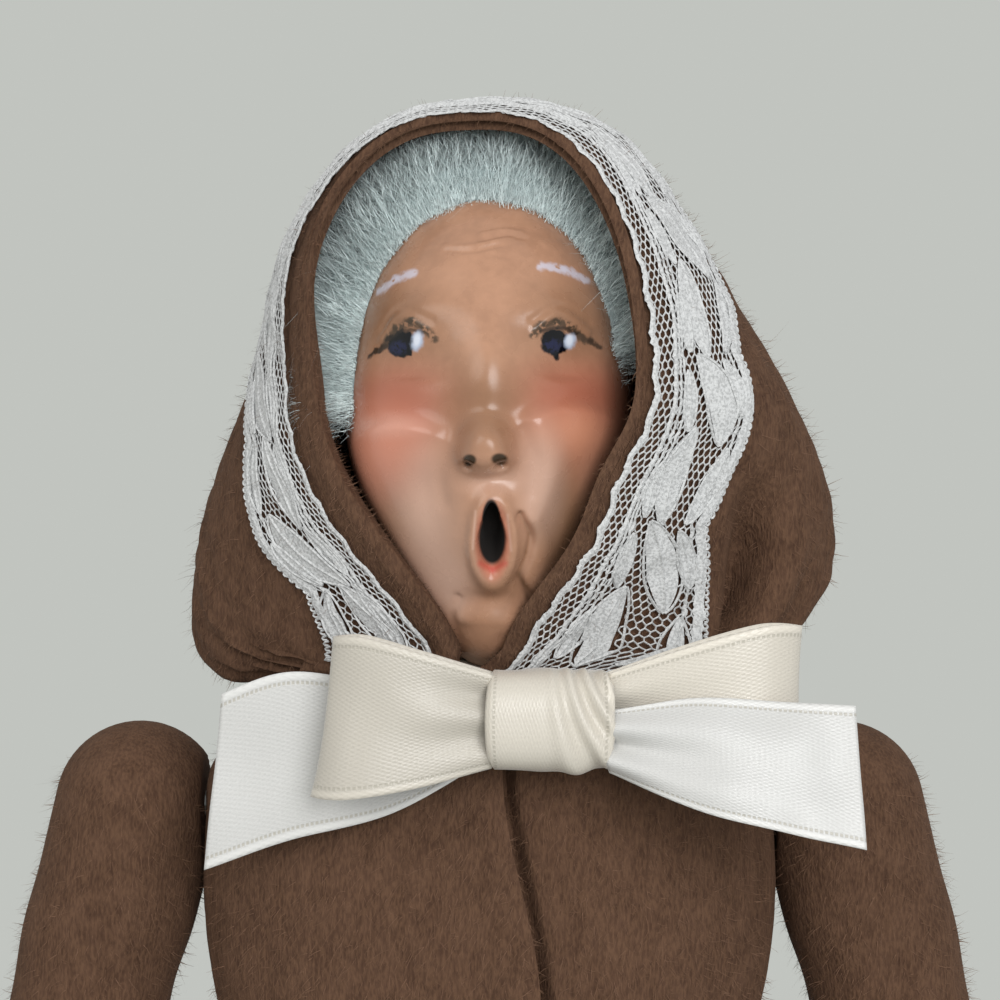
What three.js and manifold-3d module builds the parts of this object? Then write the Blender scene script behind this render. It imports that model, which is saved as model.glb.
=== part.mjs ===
// Caroler figurine: a standing singer with a moulded head, a felt hood and coat, and arms bent on wire.
// Millimetres, +Z up. The face looks along -Y, the figure's left is +X, and the origin is the middle of
// the base's underside.

import * as THREE from "three";
import { mergeVertices } from "three/addons/utils/BufferGeometryUtils.js";
import Module from "manifold-3d";

const wasm = await Module();
wasm.setup();

// Clearances
const SEAT_GAP = 0.3; // between pieces that are glued, sewn or laid on each other
const WIRE_CLEARANCE = 0.3; // round a wire in its padding
const CLOTH_EASE = 1.2; // between a garment and what it hangs over

// Stock
const FELT = 1.4;
const SKIRT_CLOTH = 0.8;
const RIBBON = 0.5;
const RIBBON_WIDTH = 15.9;
const LACE = 0.5;
const LACE_WIDTH = 11;
const LACE_STANDOFF = 0.6; // of the lace from the hood it is tacked to
const WIRE_RADIUS = 1.5;

// Base
const BASE_HALF_WIDTH = 42;
const BASE_HALF_DEPTH = 36;
const BASE_THICKNESS = 5;
const BASE_FELT = 1;
const WIRE_SINK = 4; // how far the leg wires go into the board

// Boots and legs
const STANCE = 11; // each leg's distance from the middle
const BOOT_LENGTH = 31;
const BOOT_WIDTH = 13;
const TOE_HEIGHT = 8;
const BOOT_HEIGHT = 18;
const ANKLE_RADIUS = 6.2;
const CALF_RADIUS = 7.2;
const LEG_LENGTH = 106; // boot top to hip

// Padded body
const BODY_HEIGHT = 122; // hip to the shoulder wire
const HIP_HALF_WIDTH = 22;
const WAIST_HALF_WIDTH = 20;
const CHEST_HALF_WIDTH = 28;
const HIP_HALF_DEPTH = 17;
const WAIST_HALF_DEPTH = 15.5;
const CHEST_HALF_DEPTH = 17.5;
const WAIST_DROP = 52; // below the shoulder wire
const CHEST_DROP = 14;
const LEG_WIRE_REACH = 22; // of a leg wire above the hip

// Neck and head
const NECK_RADIUS = 11;
const NECK_FORWARD = 2 * WIRE_RADIUS + 0.4; // of the neck wire, which passes in front of the shoulder wire
const SHOULDER_RISE = 9; // coat's neck edge above the shoulder wire
const BAND_HEIGHT = 5.6; // ribbon folded round the neck
const CHIN_RISE = 2.6; // chin above the hood's lower edge
const HEAD_HALF_WIDTH = 16.5;
const HEAD_HALF_DEPTH = 19.5;
const HEAD_HALF_HEIGHT = 26.8;
const HEAD_FORWARD = 4;
const NECK_WIRE_REACH = 20; // of the spine wire into the head
const MOUTH_HALF_WIDTH = 1.6;
const MOUTH_HALF_HEIGHT = 3.7;
const MOUTH_DROP = 13.8; // below the head's middle
const MOUTH_DEPTH = 7;

// Hair
const HAIR_GAP = 0.6;
const HAIR_THICKNESS = 4.2;
const HAIRLINE_ANGLE = 62; // degrees round from the front, at the temples
const HAIR_BACK_ANGLE = 150;
const HAIR_SPREAD = 122; // degrees down each side from the crown

// Hood
const HOOD_EASE = 2.6; // over the hair at the crown
const HOOD_REAR_EASE = 3;
const RIM_HALF_WIDTH = 18.6;
const HOOD_HALF_WIDTH = 28.5;
const HOOD_JOWL = 6; // of loose cloth beside the jaw
const RIM_FORWARD = 3.4; // bow of the rim beside the cheeks
const HOOD_FRONT_ANGLE = 19; // round the neck from the front
const HOOD_BACK_ANGLE = 110;
const RIM_ANGLE = 118; // of the rim's top, up from the back
const NAPE_ANGLE = -66;
const HOOD_YAW = 13; // degrees towards the figure's right
const HOOD_SHIFT = 0.8; // of the hood towards the figure's right

// Bow
const KNOT_OFFSET = 6.4; // towards the figure's left
const KNOT_HALF_WIDTH = 6.6;
const KNOT_HALF_DEPTH = 4.8;
const KNOT_HALF_HEIGHT = 5.8;
const LOOP_REACH = 27;
const RIGHT_TAIL_REACH = 37;
const LEFT_TAIL_REACH = 32;
const WAIST_OF_RIBBON = 8; // ribbon drawn in at the knot

// Coat and skirt
const COAT_NECK_EASE = 4.2; // round the neck
const COAT_NECK_FORWARD = 1; // of the neck edge's middle in front of the neck
const COAT_HEM = 40; // above the floor
const COAT_HEM_HALF_WIDTH = 47;
const COAT_HEM_HALF_DEPTH = 42;
const COAT_FOLD = 2.4;
const COAT_FOLDS = 9;
const FRONT_EDGE = 3; // coat's front opening, towards the figure's left
const SKIRT_HEM = 13;
const SKIRT_GORES = 6;

// Arms
const UPPER_ARM = 45;
const FOREARM = 40;
const SHOULDER_SLEEVE_RADIUS = 9.6;
const ELBOW_SLEEVE_RADIUS = 8.8;
const CUFF_RADIUS = 9.4;
const WRIST_RADIUS = 5;
const ARM_SPREAD = 14; // degrees out from the side
const ELBOW_REST = 35; // degrees of bend at rest
const MITTEN_LENGTH = 25;
const MITTEN_HALF_WIDTH = 6.8;
const MITTEN_HALF_DEPTH = 4.2;
const CUFF_OVERLAP = 5; // of the sleeve over the mitten's wrist
const NOTCH_ANGLE = 45; // cut in the front of each sleeve end, so that the elbow folds square

// Counts of facets
const WIRE_SIDES = 8;
const ROUND_SIDES = 14;
const OVAL_SIDES = 36;
const HOOD_COLUMNS = 25;
const GARMENT_SQUARENESS = 2.4;

const rad = THREE.MathUtils.degToRad;
const mix = THREE.MathUtils.lerp;
const smooth = THREE.MathUtils.smoothstep;
const vec = (x, y, z) => new THREE.Vector3(x, y, z);

// Heights, from the floor up
const baseTop = BASE_FELT + BASE_THICKNESS;
const bootTop = baseTop + BOOT_HEIGHT;
const hip = bootTop + LEG_LENGTH;
const shoulder = hip + BODY_HEIGHT;
const waist = shoulder - WAIST_DROP;
const chest = shoulder - CHEST_DROP;
const coatTop = shoulder + SHOULDER_RISE;
const bandBottom = coatTop + SEAT_GAP;
const hoodFoot = bandBottom + BAND_HEIGHT + SEAT_GAP;
const chin = hoodFoot + CHIN_RISE;
const headMiddle = chin + HEAD_HALF_HEIGHT;
const knotHeight = bandBottom + BAND_HEIGHT / 2;

// Half-widths that follow from what is inside
const coatEase = CLOTH_EASE + SKIRT_CLOTH + CLOTH_EASE + FELT;
const coatChestHalfWidth = CHEST_HALF_WIDTH + coatEase;
const coatChestHalfDepth = CHEST_HALF_DEPTH + coatEase;
const sleevePlane = coatChestHalfWidth + SEAT_GAP;
const shoulderX = sleevePlane + 0.8 * SHOULDER_SLEEVE_RADIUS;

// Geometry helpers

// A geometry from points and triangles, with its faces turned out.
function facingOut(points, triangles) {
  let volume = 0;
  for (const [a, b, c] of triangles) {
    volume += points[a].dot(points[b].clone().cross(points[c]));
  }
  const index = triangles.flatMap(([a, b, c]) => (volume < 0 ? [a, c, b] : [a, b, c]));
  return new THREE.BufferGeometry().setFromPoints(points).setIndex(index);
}

function solidOf(geometry) {
  const bare = geometry.clone();
  bare.deleteAttribute("normal");
  bare.deleteAttribute("uv");
  const merged = mergeVertices(bare, 1e-4);
  const index = merged.index.array;
  const kept = [];
  for (let i = 0; i < index.length; i += 3) {
    const [a, b, c] = [index[i], index[i + 1], index[i + 2]];
    if (a !== b && b !== c && c !== a) kept.push(a, b, c);
  }
  const solid = new wasm.Manifold(new wasm.Mesh({
    numProp: 3,
    vertProperties: merged.attributes.position.array,
    triVerts: new Uint32Array(kept),
  }));
  return solid;
}

function geometryOf(solid) {
  const mesh = solid.getMesh();
  return new THREE.BufferGeometry()
    .setAttribute("position", new THREE.BufferAttribute(mesh.vertProperties, 3))
    .setIndex(new THREE.BufferAttribute(mesh.triVerts, 1));
}

function cut(geometry, ...tools) {
  return geometryOf(tools.reduce((left, tool) => left.subtract(solidOf(tool)), solidOf(geometry)));
}

function join(geometry, ...others) {
  return geometryOf(others.reduce((all, other) => all.add(solidOf(other)), solidOf(geometry)));
}

// A closed wall between two grids of points, given row by row. A round wall joins its last column to its first.
function wall(outer, inner, round = false) {
  const rows = outer.length;
  const columns = outer[0].length;
  const points = [...outer.flat(), ...inner.flat()];
  const out = (i, j) => i * columns + (j % columns);
  const back = (i, j) => rows * columns + out(i, j);
  const triangles = [];
  const quad = (a, b, c, d) => triangles.push([a, b, c], [a, c, d]);
  const spans = round ? columns : columns - 1;
  for (let j = 0; j < spans; j++) {
    for (let i = 0; i < rows - 1; i++) {
      quad(out(i, j), out(i, j + 1), out(i + 1, j + 1), out(i + 1, j));
      quad(back(i, j), back(i + 1, j), back(i + 1, j + 1), back(i, j + 1));
    }
    quad(out(0, j), back(0, j), back(0, j + 1), out(0, j + 1));
    quad(out(rows - 1, j), out(rows - 1, j + 1), back(rows - 1, j + 1), back(rows - 1, j));
  }
  if (!round) {
    for (let i = 0; i < rows - 1; i++) {
      quad(out(i, 0), out(i + 1, 0), back(i + 1, 0), back(i, 0));
      quad(out(i, columns - 1), back(i, columns - 1), back(i + 1, columns - 1), out(i + 1, columns - 1));
    }
  }
  return facingOut(points, triangles);
}

// A closed solid through rings of points, with a flat end on the first and last ring.
function loft(rings) {
  const sides = rings[0].length;
  const points = rings.flat();
  const triangles = [];
  for (let i = 0; i < rings.length - 1; i++) {
    for (let j = 0; j < sides; j++) {
      const [a, b] = [i * sides + j, i * sides + ((j + 1) % sides)];
      triangles.push([a, b, b + sides], [a, b + sides, a + sides]);
    }
  }
  for (const [first, turn] of [[0, true], [(rings.length - 1) * sides, false]]) {
    for (let j = 1; j < sides - 1; j++) {
      triangles.push(turn ? [first, first + j + 1, first + j] : [first, first + j, first + j + 1]);
    }
  }
  return facingOut(points, triangles);
}

// A solid turned about Z from a profile of [radius, height] that starts and ends on the axis.
function turned(profile, sides = ROUND_SIDES) {
  const lathe = new THREE.LatheGeometry(profile.map(([r, z]) => new THREE.Vector2(r, z)), sides);
  const solid = solidOf(lathe.rotateX(Math.PI / 2));
  if (solid.volume() > 0) return geometryOf(solid);
  const index = lathe.index.array;
  for (let i = 0; i < index.length; i += 3) [index[i], index[i + 1]] = [index[i + 1], index[i]];
  return geometryOf(solidOf(lathe));
}

function rod(from, to, radius, sides = WIRE_SIDES) {
  const along = to.clone().sub(from);
  const geometry = new THREE.CylinderGeometry(radius, radius, along.length(), sides);
  geometry.applyQuaternion(new THREE.Quaternion().setFromUnitVectors(vec(0, 1, 0), along.clone().normalize()));
  const middle = from.clone().add(to).multiplyScalar(0.5);
  return geometry.translate(middle.x, middle.y, middle.z);
}

function box(low, high) {
  const size = high.clone().sub(low);
  const middle = low.clone().add(high).multiplyScalar(0.5);
  return new THREE.BoxGeometry(size.x, size.y, size.z).translate(middle.x, middle.y, middle.z);
}

function ball(radius) {
  return new THREE.SphereGeometry(radius, ROUND_SIDES, 10);
}

// A point on a rounded oval. The angle runs from the front towards the figure's left.
function ovalPoint(angle, halfWidth, halfDepth, squareness = 2) {
  const s = Math.sin(angle);
  const c = Math.cos(angle);
  const r = (Math.abs(s) ** squareness + Math.abs(c) ** squareness) ** (-1 / squareness);
  return [halfWidth * r * s, -halfDepth * r * c];
}

function ovalRing(z, halfWidth, halfDepth, sides, squareness = 2, middleY = 0) {
  return Array.from({ length: sides }, (_, j) => {
    const [x, y] = ovalPoint((2 * Math.PI * j) / sides, halfWidth, halfDepth, squareness);
    return vec(x, y + middleY, z);
  });
}

// Materials
const finish = (color, roughness, metalness = 0) =>
  new THREE.MeshStandardMaterial({ color, roughness, metalness });
const brownFelt = finish(0x5c4334, 0.95);
const faceParts = finish(0xc98a68, 0.35);
const greyHair = finish(0xa9b8ba, 0.9);
const whiteLace = finish(0xe8e9e6, 0.85);
const ivorySatin = finish(0xe9e2cf, 0.4);
const steel = finish(0x9a9a98, 0.35, 0.9);
const tissue = finish(0xe6e0d2, 0.95);
const blackBoot = finish(0x1d1b1a, 0.45);
const boardWood = finish(0x8a6a48, 0.7);
const greenFelt = finish(0x3c4a3a, 0.95);
const skirtWool = finish(0x3b4334, 0.95);
const mittenWool = finish(0xe3dcc8, 0.95);

const figure = new THREE.Group();

function place(name, geometry, material, parent = figure) {
  const mesh = new THREE.Mesh(geometry, material);
  mesh.name = name;
  parent.add(mesh);
  return mesh;
}

// Base
function makeBase() {
  const pad = loft([0, BASE_FELT].map((z) => ovalRing(z, BASE_HALF_WIDTH, BASE_HALF_DEPTH, OVAL_SIDES)));
  place("base_felt", pad, greenFelt);
  const board = loft([BASE_FELT, baseTop].map((z) =>
    ovalRing(z, BASE_HALF_WIDTH, BASE_HALF_DEPTH, OVAL_SIDES)));
  const holes = [-STANCE, STANCE].map((x) =>
    rod(vec(x, 0, baseTop - WIRE_SINK - SEAT_GAP), vec(x, 0, baseTop + 1), WIRE_RADIUS + WIRE_CLEARANCE));
  place("base_board", cut(board, ...holes), boardWood);
}

// Boots and legs
function makeLeg(side, x) {
  const group = new THREE.Group();
  group.position.x = x;
  figure.add(group);
  const heel = BOOT_LENGTH / 3;
  const toe = heel - BOOT_LENGTH;
  const instep = baseTop + TOE_HEIGHT;
  const foot = loft([
    [heel, 0.32, 0.9],
    [heel - 2, 0.44, 1.25],
    [heel - 9, 0.46, 1.3],
    [heel - 17, 0.5, 1.1],
    [toe + 6, 0.5, 0.95],
    [toe + 2, 0.4, 0.8],
    [toe, 0.2, 0.5],
  ].map(([y, width, height]) => {
    const half = width * BOOT_WIDTH;
    const top = baseTop + height * (instep - baseTop);
    return [
      vec(-half, y, baseTop), vec(half, y, baseTop), vec(half, y, mix(baseTop, top, 0.55)),
      vec(half * 0.6, y, mix(baseTop, top, 0.9)), vec(0, y, top),
      vec(-half * 0.6, y, mix(baseTop, top, 0.9)), vec(-half, y, mix(baseTop, top, 0.55)),
    ];
  }));
  const shaft = rod(vec(0, 0, baseTop + 1), vec(0, 0, bootTop), ANKLE_RADIUS, ROUND_SIDES);
  const bore = rod(vec(0, 0, baseTop - 1), vec(0, 0, bootTop + 1), WIRE_RADIUS + WIRE_CLEARANCE);
  place(`${side}_boot`, cut(join(foot, shaft), bore), blackBoot, group);

  const legBottom = bootTop + SEAT_GAP;
  const legTop = hip - SEAT_GAP;
  const leg = turned([
    [0, legBottom], [ANKLE_RADIUS - 0.6, legBottom], [CALF_RADIUS, mix(legBottom, legTop, 0.35)],
    [CALF_RADIUS - 0.6, mix(legBottom, legTop, 0.6)], [CALF_RADIUS + 1, legTop], [0, legTop],
  ]);
  const legBore = rod(vec(0, 0, legBottom - 1), vec(0, 0, legTop + 1), WIRE_RADIUS + WIRE_CLEARANCE);
  place(`${side}_leg_wrap`, cut(leg, legBore), tissue, group);
  const wire = rod(vec(0, 0, baseTop - WIRE_SINK), vec(0, 0, hip + LEG_WIRE_REACH), WIRE_RADIUS);
  place(`${side}_leg_wire`, wire, steel, group);
}

// Padded body, with bores for the wires
const bodyTop = coatTop - FELT - CLOTH_EASE;

function makeBody() {
  const sections = [
    [hip, 0.86 * HIP_HALF_WIDTH, 0.86 * HIP_HALF_DEPTH, 0],
    [hip + 14, HIP_HALF_WIDTH, HIP_HALF_DEPTH, 0],
    [mix(hip, waist, 0.6), 0.5 * (HIP_HALF_WIDTH + WAIST_HALF_WIDTH), HIP_HALF_DEPTH - 0.6, 0],
    [waist, WAIST_HALF_WIDTH, WAIST_HALF_DEPTH, 0],
    [mix(waist, chest, 0.6), 0.5 * (CHEST_HALF_WIDTH + WAIST_HALF_WIDTH) + 1, CHEST_HALF_DEPTH - 0.6, 0],
    [chest, CHEST_HALF_WIDTH, CHEST_HALF_DEPTH, 0],
    [shoulder, CHEST_HALF_WIDTH - 0.4, CHEST_HALF_DEPTH - 2, 0],
    [shoulder + 0.55 * (bodyTop - shoulder), CHEST_HALF_WIDTH - 3, CHEST_HALF_DEPTH - 4, -1],
    [bodyTop, NECK_RADIUS + 2, NECK_RADIUS, -NECK_FORWARD],
  ];
  const body = loft(sections.map(([z, halfWidth, halfDepth, middleY]) =>
    ovalRing(z, halfWidth, halfDepth, 18, GARMENT_SQUARENESS, middleY)));
  const bore = WIRE_RADIUS + WIRE_CLEARANCE;
  const legBores = [-STANCE, STANCE].map((x) =>
    rod(vec(x, 0, hip - 1), vec(x, 0, hip + LEG_WIRE_REACH + SEAT_GAP), bore));
  const spineFoot = hip + LEG_WIRE_REACH;
  const spineBore = rod(vec(0, -NECK_FORWARD, spineFoot - SEAT_GAP), vec(0, -NECK_FORWARD, bodyTop + 1), bore);
  const crossBore = rod(vec(-2 * shoulderX, 0, shoulder), vec(2 * shoulderX, 0, shoulder), bore);
  place("body_padding", cut(body, ...legBores, spineBore, crossBore), tissue);

  const spineY = -NECK_FORWARD;
  const spineTop = chin + NECK_WIRE_REACH;
  const spine = rod(vec(0, spineY, spineFoot), vec(0, spineY, spineTop), WIRE_RADIUS);
  place("spine_wire", spine, steel);
  const half = shoulderX + 0.4 * SHOULDER_SLEEVE_RADIUS;
  const crossbar = rod(vec(-half, 0, shoulder), vec(half, 0, shoulder), WIRE_RADIUS);
  place("shoulder_wire", crossbar, steel);
}

// Neck
const neckTop = chin - SEAT_GAP;

function makeNeck() {
  const wrapBottom = bodyTop + SEAT_GAP;
  const wrap = turned([
    [0, wrapBottom], [NECK_RADIUS, wrapBottom], [NECK_RADIUS - 0.5, hoodFoot],
    [NECK_RADIUS - 5, neckTop], [0, neckTop],
  ]);
  const bore = rod(vec(0, 0, wrapBottom - 1), vec(0, 0, neckTop + 1), WIRE_RADIUS + WIRE_CLEARANCE);
  const mesh = place("neck_wrap", cut(wrap, bore), tissue);
  mesh.position.y = -NECK_FORWARD;
}

// Head: an egg with the relief of a singing face, as a radius in each direction from its middle.
// Each bump is [x, z, height, spread in x, spread in z], from the head's middle.
const FACE_BUMPS = [
  [0, -3.4, 4.2, 2.7, 2.5], // nose tip
  [0, 3.2, 2.4, 1.9, 5.2], // nose bridge
  [-8, 10.8, 1.0, 4.6, 2.2], // brows
  [8, 10.8, 1.0, 4.6, 2.2],
  [-8.5, 6.6, -1.7, 3.8, 2.6], // eye hollows
  [8.5, 6.6, -1.7, 3.8, 2.6],
  [-9.4, -1.2, 2.0, 4.2, 3.6], // cheeks
  [9.4, -1.2, 2.0, 4.2, 3.6],
  [0, -13.8, 2.6, 4.6, 6.2], // lips round the open mouth
  [0.3, -22.6, 2.6, 4.2, 2.8], // chin
];

function headRadius(direction) {
  const { x, y, z } = direction;
  const narrow = z < 0 ? 1 - 0.24 * z * z : 1; // the jaw draws in
  const egg = ((x / (HEAD_HALF_WIDTH * narrow)) ** 2 + (y / HEAD_HALF_DEPTH) ** 2
    + (z / HEAD_HALF_HEIGHT) ** 2) ** -0.5;
  const front = smooth(-y, 0.05, 0.45);
  const [across, up] = [x * egg, z * egg];
  const relief = FACE_BUMPS.reduce((sum, [bx, bz, height, sx, sz]) =>
    sum + height * Math.exp(-(((across - bx) / sx) ** 2 + ((up - bz) / sz) ** 2)), 0);
  return egg + front * relief * Math.max(-y, 0.3);
}

// A direction from the head's middle: round from the front, then turned about the front from the crown.
function headDirection(fromFront, fromCrown) {
  const side = Math.sin(fromFront);
  return vec(side * Math.sin(fromCrown), -Math.cos(fromFront), side * Math.cos(fromCrown));
}

const headGroup = new THREE.Group();
headGroup.position.set(0, -HEAD_FORWARD, headMiddle);
figure.add(headGroup);

function makeHead() {
  const [rings, sectors] = [20, 32];
  const points = [vec(0, -headRadius(vec(0, -1, 0)), 0)];
  const triangles = [];
  for (let i = 1; i < rings; i++) {
    const fromFront = Math.PI * (i / rings) ** 1.25; // closer rings on the face
    for (let j = 0; j < sectors; j++) {
      const direction = headDirection(fromFront, (2 * Math.PI * j) / sectors);
      points.push(direction.multiplyScalar(headRadius(direction)));
    }
  }
  points.push(vec(0, headRadius(vec(0, 1, 0)), 0));
  const at = (i, j) => 1 + (i - 1) * sectors + (j % sectors);
  for (let j = 0; j < sectors; j++) {
    triangles.push([0, at(1, j), at(1, j + 1)]);
    triangles.push([points.length - 1, at(rings - 1, j + 1), at(rings - 1, j)]);
    for (let i = 1; i < rings - 1; i++) {
      triangles.push([at(i, j), at(i + 1, j), at(i + 1, j + 1)], [at(i, j), at(i + 1, j + 1), at(i, j + 1)]);
    }
  }
  const skull = facingOut(points, triangles);
  const lips = HEAD_HALF_DEPTH + 6;
  const mouth = loft([[-lips, 1.15], [MOUTH_DEPTH + 4 - lips, 0.8]].map(([y, size]) =>
    Array.from({ length: 12 }, (_, j) => {
      const turn = (2 * Math.PI * j) / 12;
      const half = size * MOUTH_HALF_WIDTH * Math.sin(turn);
      return vec(half, y, size * MOUTH_HALF_HEIGHT * Math.cos(turn) - MOUTH_DROP);
    })));
  const neckY = HEAD_FORWARD - NECK_FORWARD;
  const socketTop = chin + NECK_WIRE_REACH + SEAT_GAP - headMiddle;
  const socket = rod(vec(0, neckY, -2 * HEAD_HALF_HEIGHT), vec(0, neckY, socketTop), WIRE_RADIUS + WIRE_CLEARANCE);
  place("head", cut(skull, mouth, socket), faceParts, headGroup);
}

// Hair: a fur strip over the head from the hairline to the back
function makeHair() {
  const [rows, columns] = [8, 21];
  const layer = (lift) => Array.from({ length: rows }, (_, i) =>
    Array.from({ length: columns }, (_, j) => {
      const turn = rad(mix(-HAIR_SPREAD, HAIR_SPREAD, j / (columns - 1)));
      const hairline = HAIRLINE_ANGLE - 8 * Math.cos(turn) ** 2;
      const fromFront = rad(mix(hairline, HAIR_BACK_ANGLE, i / (rows - 1)));
      const direction = headDirection(fromFront, turn);
      const full = mix(0.4, 1, smooth(i, 0, 3)) * mix(0.6, 1, Math.max(Math.cos(turn), 0));
      return direction.clone().multiplyScalar(headRadius(direction) + HAIR_GAP + lift * full);
    }));
  place("wig", wall(layer(HAIR_THICKNESS), layer(0)), greyHair, headGroup);
}

// Hood: arches of cloth from the face rim back to the nape, all footed round the neck.
const hoodNeckRadius = NECK_RADIUS + RIBBON + 1;
const hoodHalfHeight = HEAD_HALF_HEIGHT + HAIR_GAP + HAIR_THICKNESS + HOOD_EASE + FELT;
const hoodHalfDepth = HEAD_HALF_DEPTH + HAIR_GAP + HAIR_THICKNESS + HOOD_REAR_EASE + FELT;
const hoodGroup = new THREE.Group();
hoodGroup.position.set(-HOOD_SHIFT, -NECK_FORWARD, 0);
hoodGroup.rotation.z = -rad(HOOD_YAW);
figure.add(hoodGroup);

// back runs from 0 at the face rim to 1 at the nape, and side from -1 to 1 across the crown.
function hoodPoint(back, side) {
  const footAngle = rad(mix(HOOD_FRONT_ANGLE, HOOD_BACK_ANGLE, back));
  const footX = hoodNeckRadius * Math.sin(footAngle);
  const footY = -hoodNeckRadius * Math.cos(footAngle);
  const crownAngle = rad(mix(RIM_ANGLE, NAPE_ANGLE, back));
  const crownY = NECK_FORWARD - HEAD_FORWARD + 2 + hoodHalfDepth * Math.cos(crownAngle);
  const crownZ = Math.max(headMiddle + hoodHalfHeight * Math.sin(crownAngle), hoodFoot);
  const turn = Math.abs(side) * Math.PI;
  const rise = (1 + Math.cos(turn)) / 2;
  const low = mix(3.6, 1.1, smooth(back, 0, 0.4));
  const power = turn > Math.PI / 2 ? low : 0.78;
  const loose = 1 - (1 - Math.min(back / 0.45, 1)) ** 2.2;
  const drawn = smooth(back, 0.6, 1);
  const halfWidth = mix(mix(RIM_HALF_WIDTH, HOOD_HALF_WIDTH, loose), 0.62 * hoodNeckRadius, drawn);
  const jowl = HOOD_JOWL * loose * (1 - drawn) * Math.exp(-(((rise - 0.33) / 0.2) ** 2));
  const half = (halfWidth + jowl) * Math.sin(turn) ** power + footX * (1 - rise) ** 3;
  const bow = RIM_FORWARD * Math.sin(Math.PI * rise) ** 0.6 * (1 - smooth(back, 0, 0.3));
  return vec(Math.sign(side) * half, mix(footY, crownY, rise) - bow, mix(hoodFoot, crownZ, rise));
}

// The point lifted off the cloth's outer face.
function hoodLifted(back, side, lift) {
  const step = 0.004;
  const clampSide = THREE.MathUtils.clamp(side, -1 + step, 1 - step);
  const clampBack = THREE.MathUtils.clamp(back, step, 1 - step);
  const acrossCloth = hoodPoint(clampBack, clampSide + step).sub(hoodPoint(clampBack, clampSide - step));
  const alongCloth = hoodPoint(clampBack + step, clampSide).sub(hoodPoint(clampBack - step, clampSide));
  const normal = alongCloth.cross(acrossCloth).normalize();
  const point = hoodPoint(back, side).addScaledVector(normal, lift);
  return point.setZ(Math.max(point.z, hoodFoot));
}

const hoodSide = (column) => mix(-1, 1, column / (HOOD_COLUMNS - 1));

function makeHood() {
  const rows = 12;
  const layer = (lift) => Array.from({ length: rows }, (_, i) =>
    Array.from({ length: HOOD_COLUMNS }, (_, j) => hoodLifted((i / (rows - 1)) ** 1.15, hoodSide(j), lift)));
  place("hood", wall(layer(0), layer(-FELT)), brownFelt, hoodGroup);
}

function makeLace() {
  const rows = 4;
  const start = 0.03;
  const reach = (side) => {
    const run = hoodPoint(start + 0.05, side).distanceTo(hoodPoint(start, side)) / 0.05;
    return Math.min(LACE_WIDTH / run, 0.3);
  };
  const layer = (lift) => Array.from({ length: rows }, (_, i) =>
    Array.from({ length: HOOD_COLUMNS - 2 }, (_, j) => {
      const side = hoodSide(j + 1);
      const scallop = 1 - 0.1 * (i === rows - 1 ? j % 2 : 0);
      return hoodLifted(start + (reach(side) * scallop * i) / (rows - 1), side, lift);
    }));
  place("lace_trim", wall(layer(LACE_STANDOFF + LACE), layer(LACE_STANDOFF)), whiteLace, hoodGroup);
}

// Ribbon: a band round the neck, tied in a bow under the chin
const chestFront = coatChestHalfDepth + SEAT_GAP;
const knotBack = chestFront - 1;
const knotY = -(knotBack + KNOT_HALF_DEPTH);

function makeNeckBand() {
  const front = knotBack - SEAT_GAP;
  const rear = NECK_RADIUS + RIBBON + 1 - NECK_FORWARD;
  const middleY = (rear - front) / 2;
  const halfDepth = (rear + front) / 2;
  const halfWidth = NECK_RADIUS + RIBBON + 2.5;
  const ring = (offset) => [bandBottom, bandBottom + BAND_HEIGHT].map((z) =>
    ovalRing(z, halfWidth - offset, halfDepth - offset, 28, 2, middleY));
  place("ribbon_neck_band", wall(ring(0), ring(RIBBON), true), ivorySatin);
}

function makeKnot() {
  const rings = [-1, -0.94, -0.5, 0, 0.5, 0.94, 1].map((across) => {
    const size = across ** 2 > 0.99 ? 0.72 : 1 - 0.08 * across ** 2;
    return Array.from({ length: 14 }, (_, j) => {
      const [a, b] = ovalPoint((2 * Math.PI * j) / 14, size * KNOT_HALF_HEIGHT, size * KNOT_HALF_DEPTH, 2.6);
      return vec(KNOT_OFFSET + across * KNOT_HALF_WIDTH, knotY + b, knotHeight + a);
    });
  });
  place("bow_knot", loft(rings), ivorySatin);
}

// A ribbon along a path of [x, y, z, width], as a strip of cloth with its face square to the path.
function ribbonStrip(stations, rows) {
  const path = new THREE.CatmullRomCurve3(stations.map(([x, y, z]) => vec(x, y, z)));
  const widths = new THREE.SplineCurve(stations.map(([, , , width], i) => new THREE.Vector2(i, width)));
  const layer = (lift) => Array.from({ length: rows }, (_, i) => {
    const t = i / (rows - 1);
    const point = path.getPoint(t);
    const tangent = path.getTangent(t);
    const normal = vec(tangent.y, -tangent.x, 0).normalize();
    const half = widths.getPoint(t).y / 2;
    return [-half, 0, half].map((up) => point.clone().addScaledVector(normal, lift).add(vec(0, 0, up)));
  });
  return wall(layer(RIBBON / 2), layer(-RIBBON / 2));
}

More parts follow.
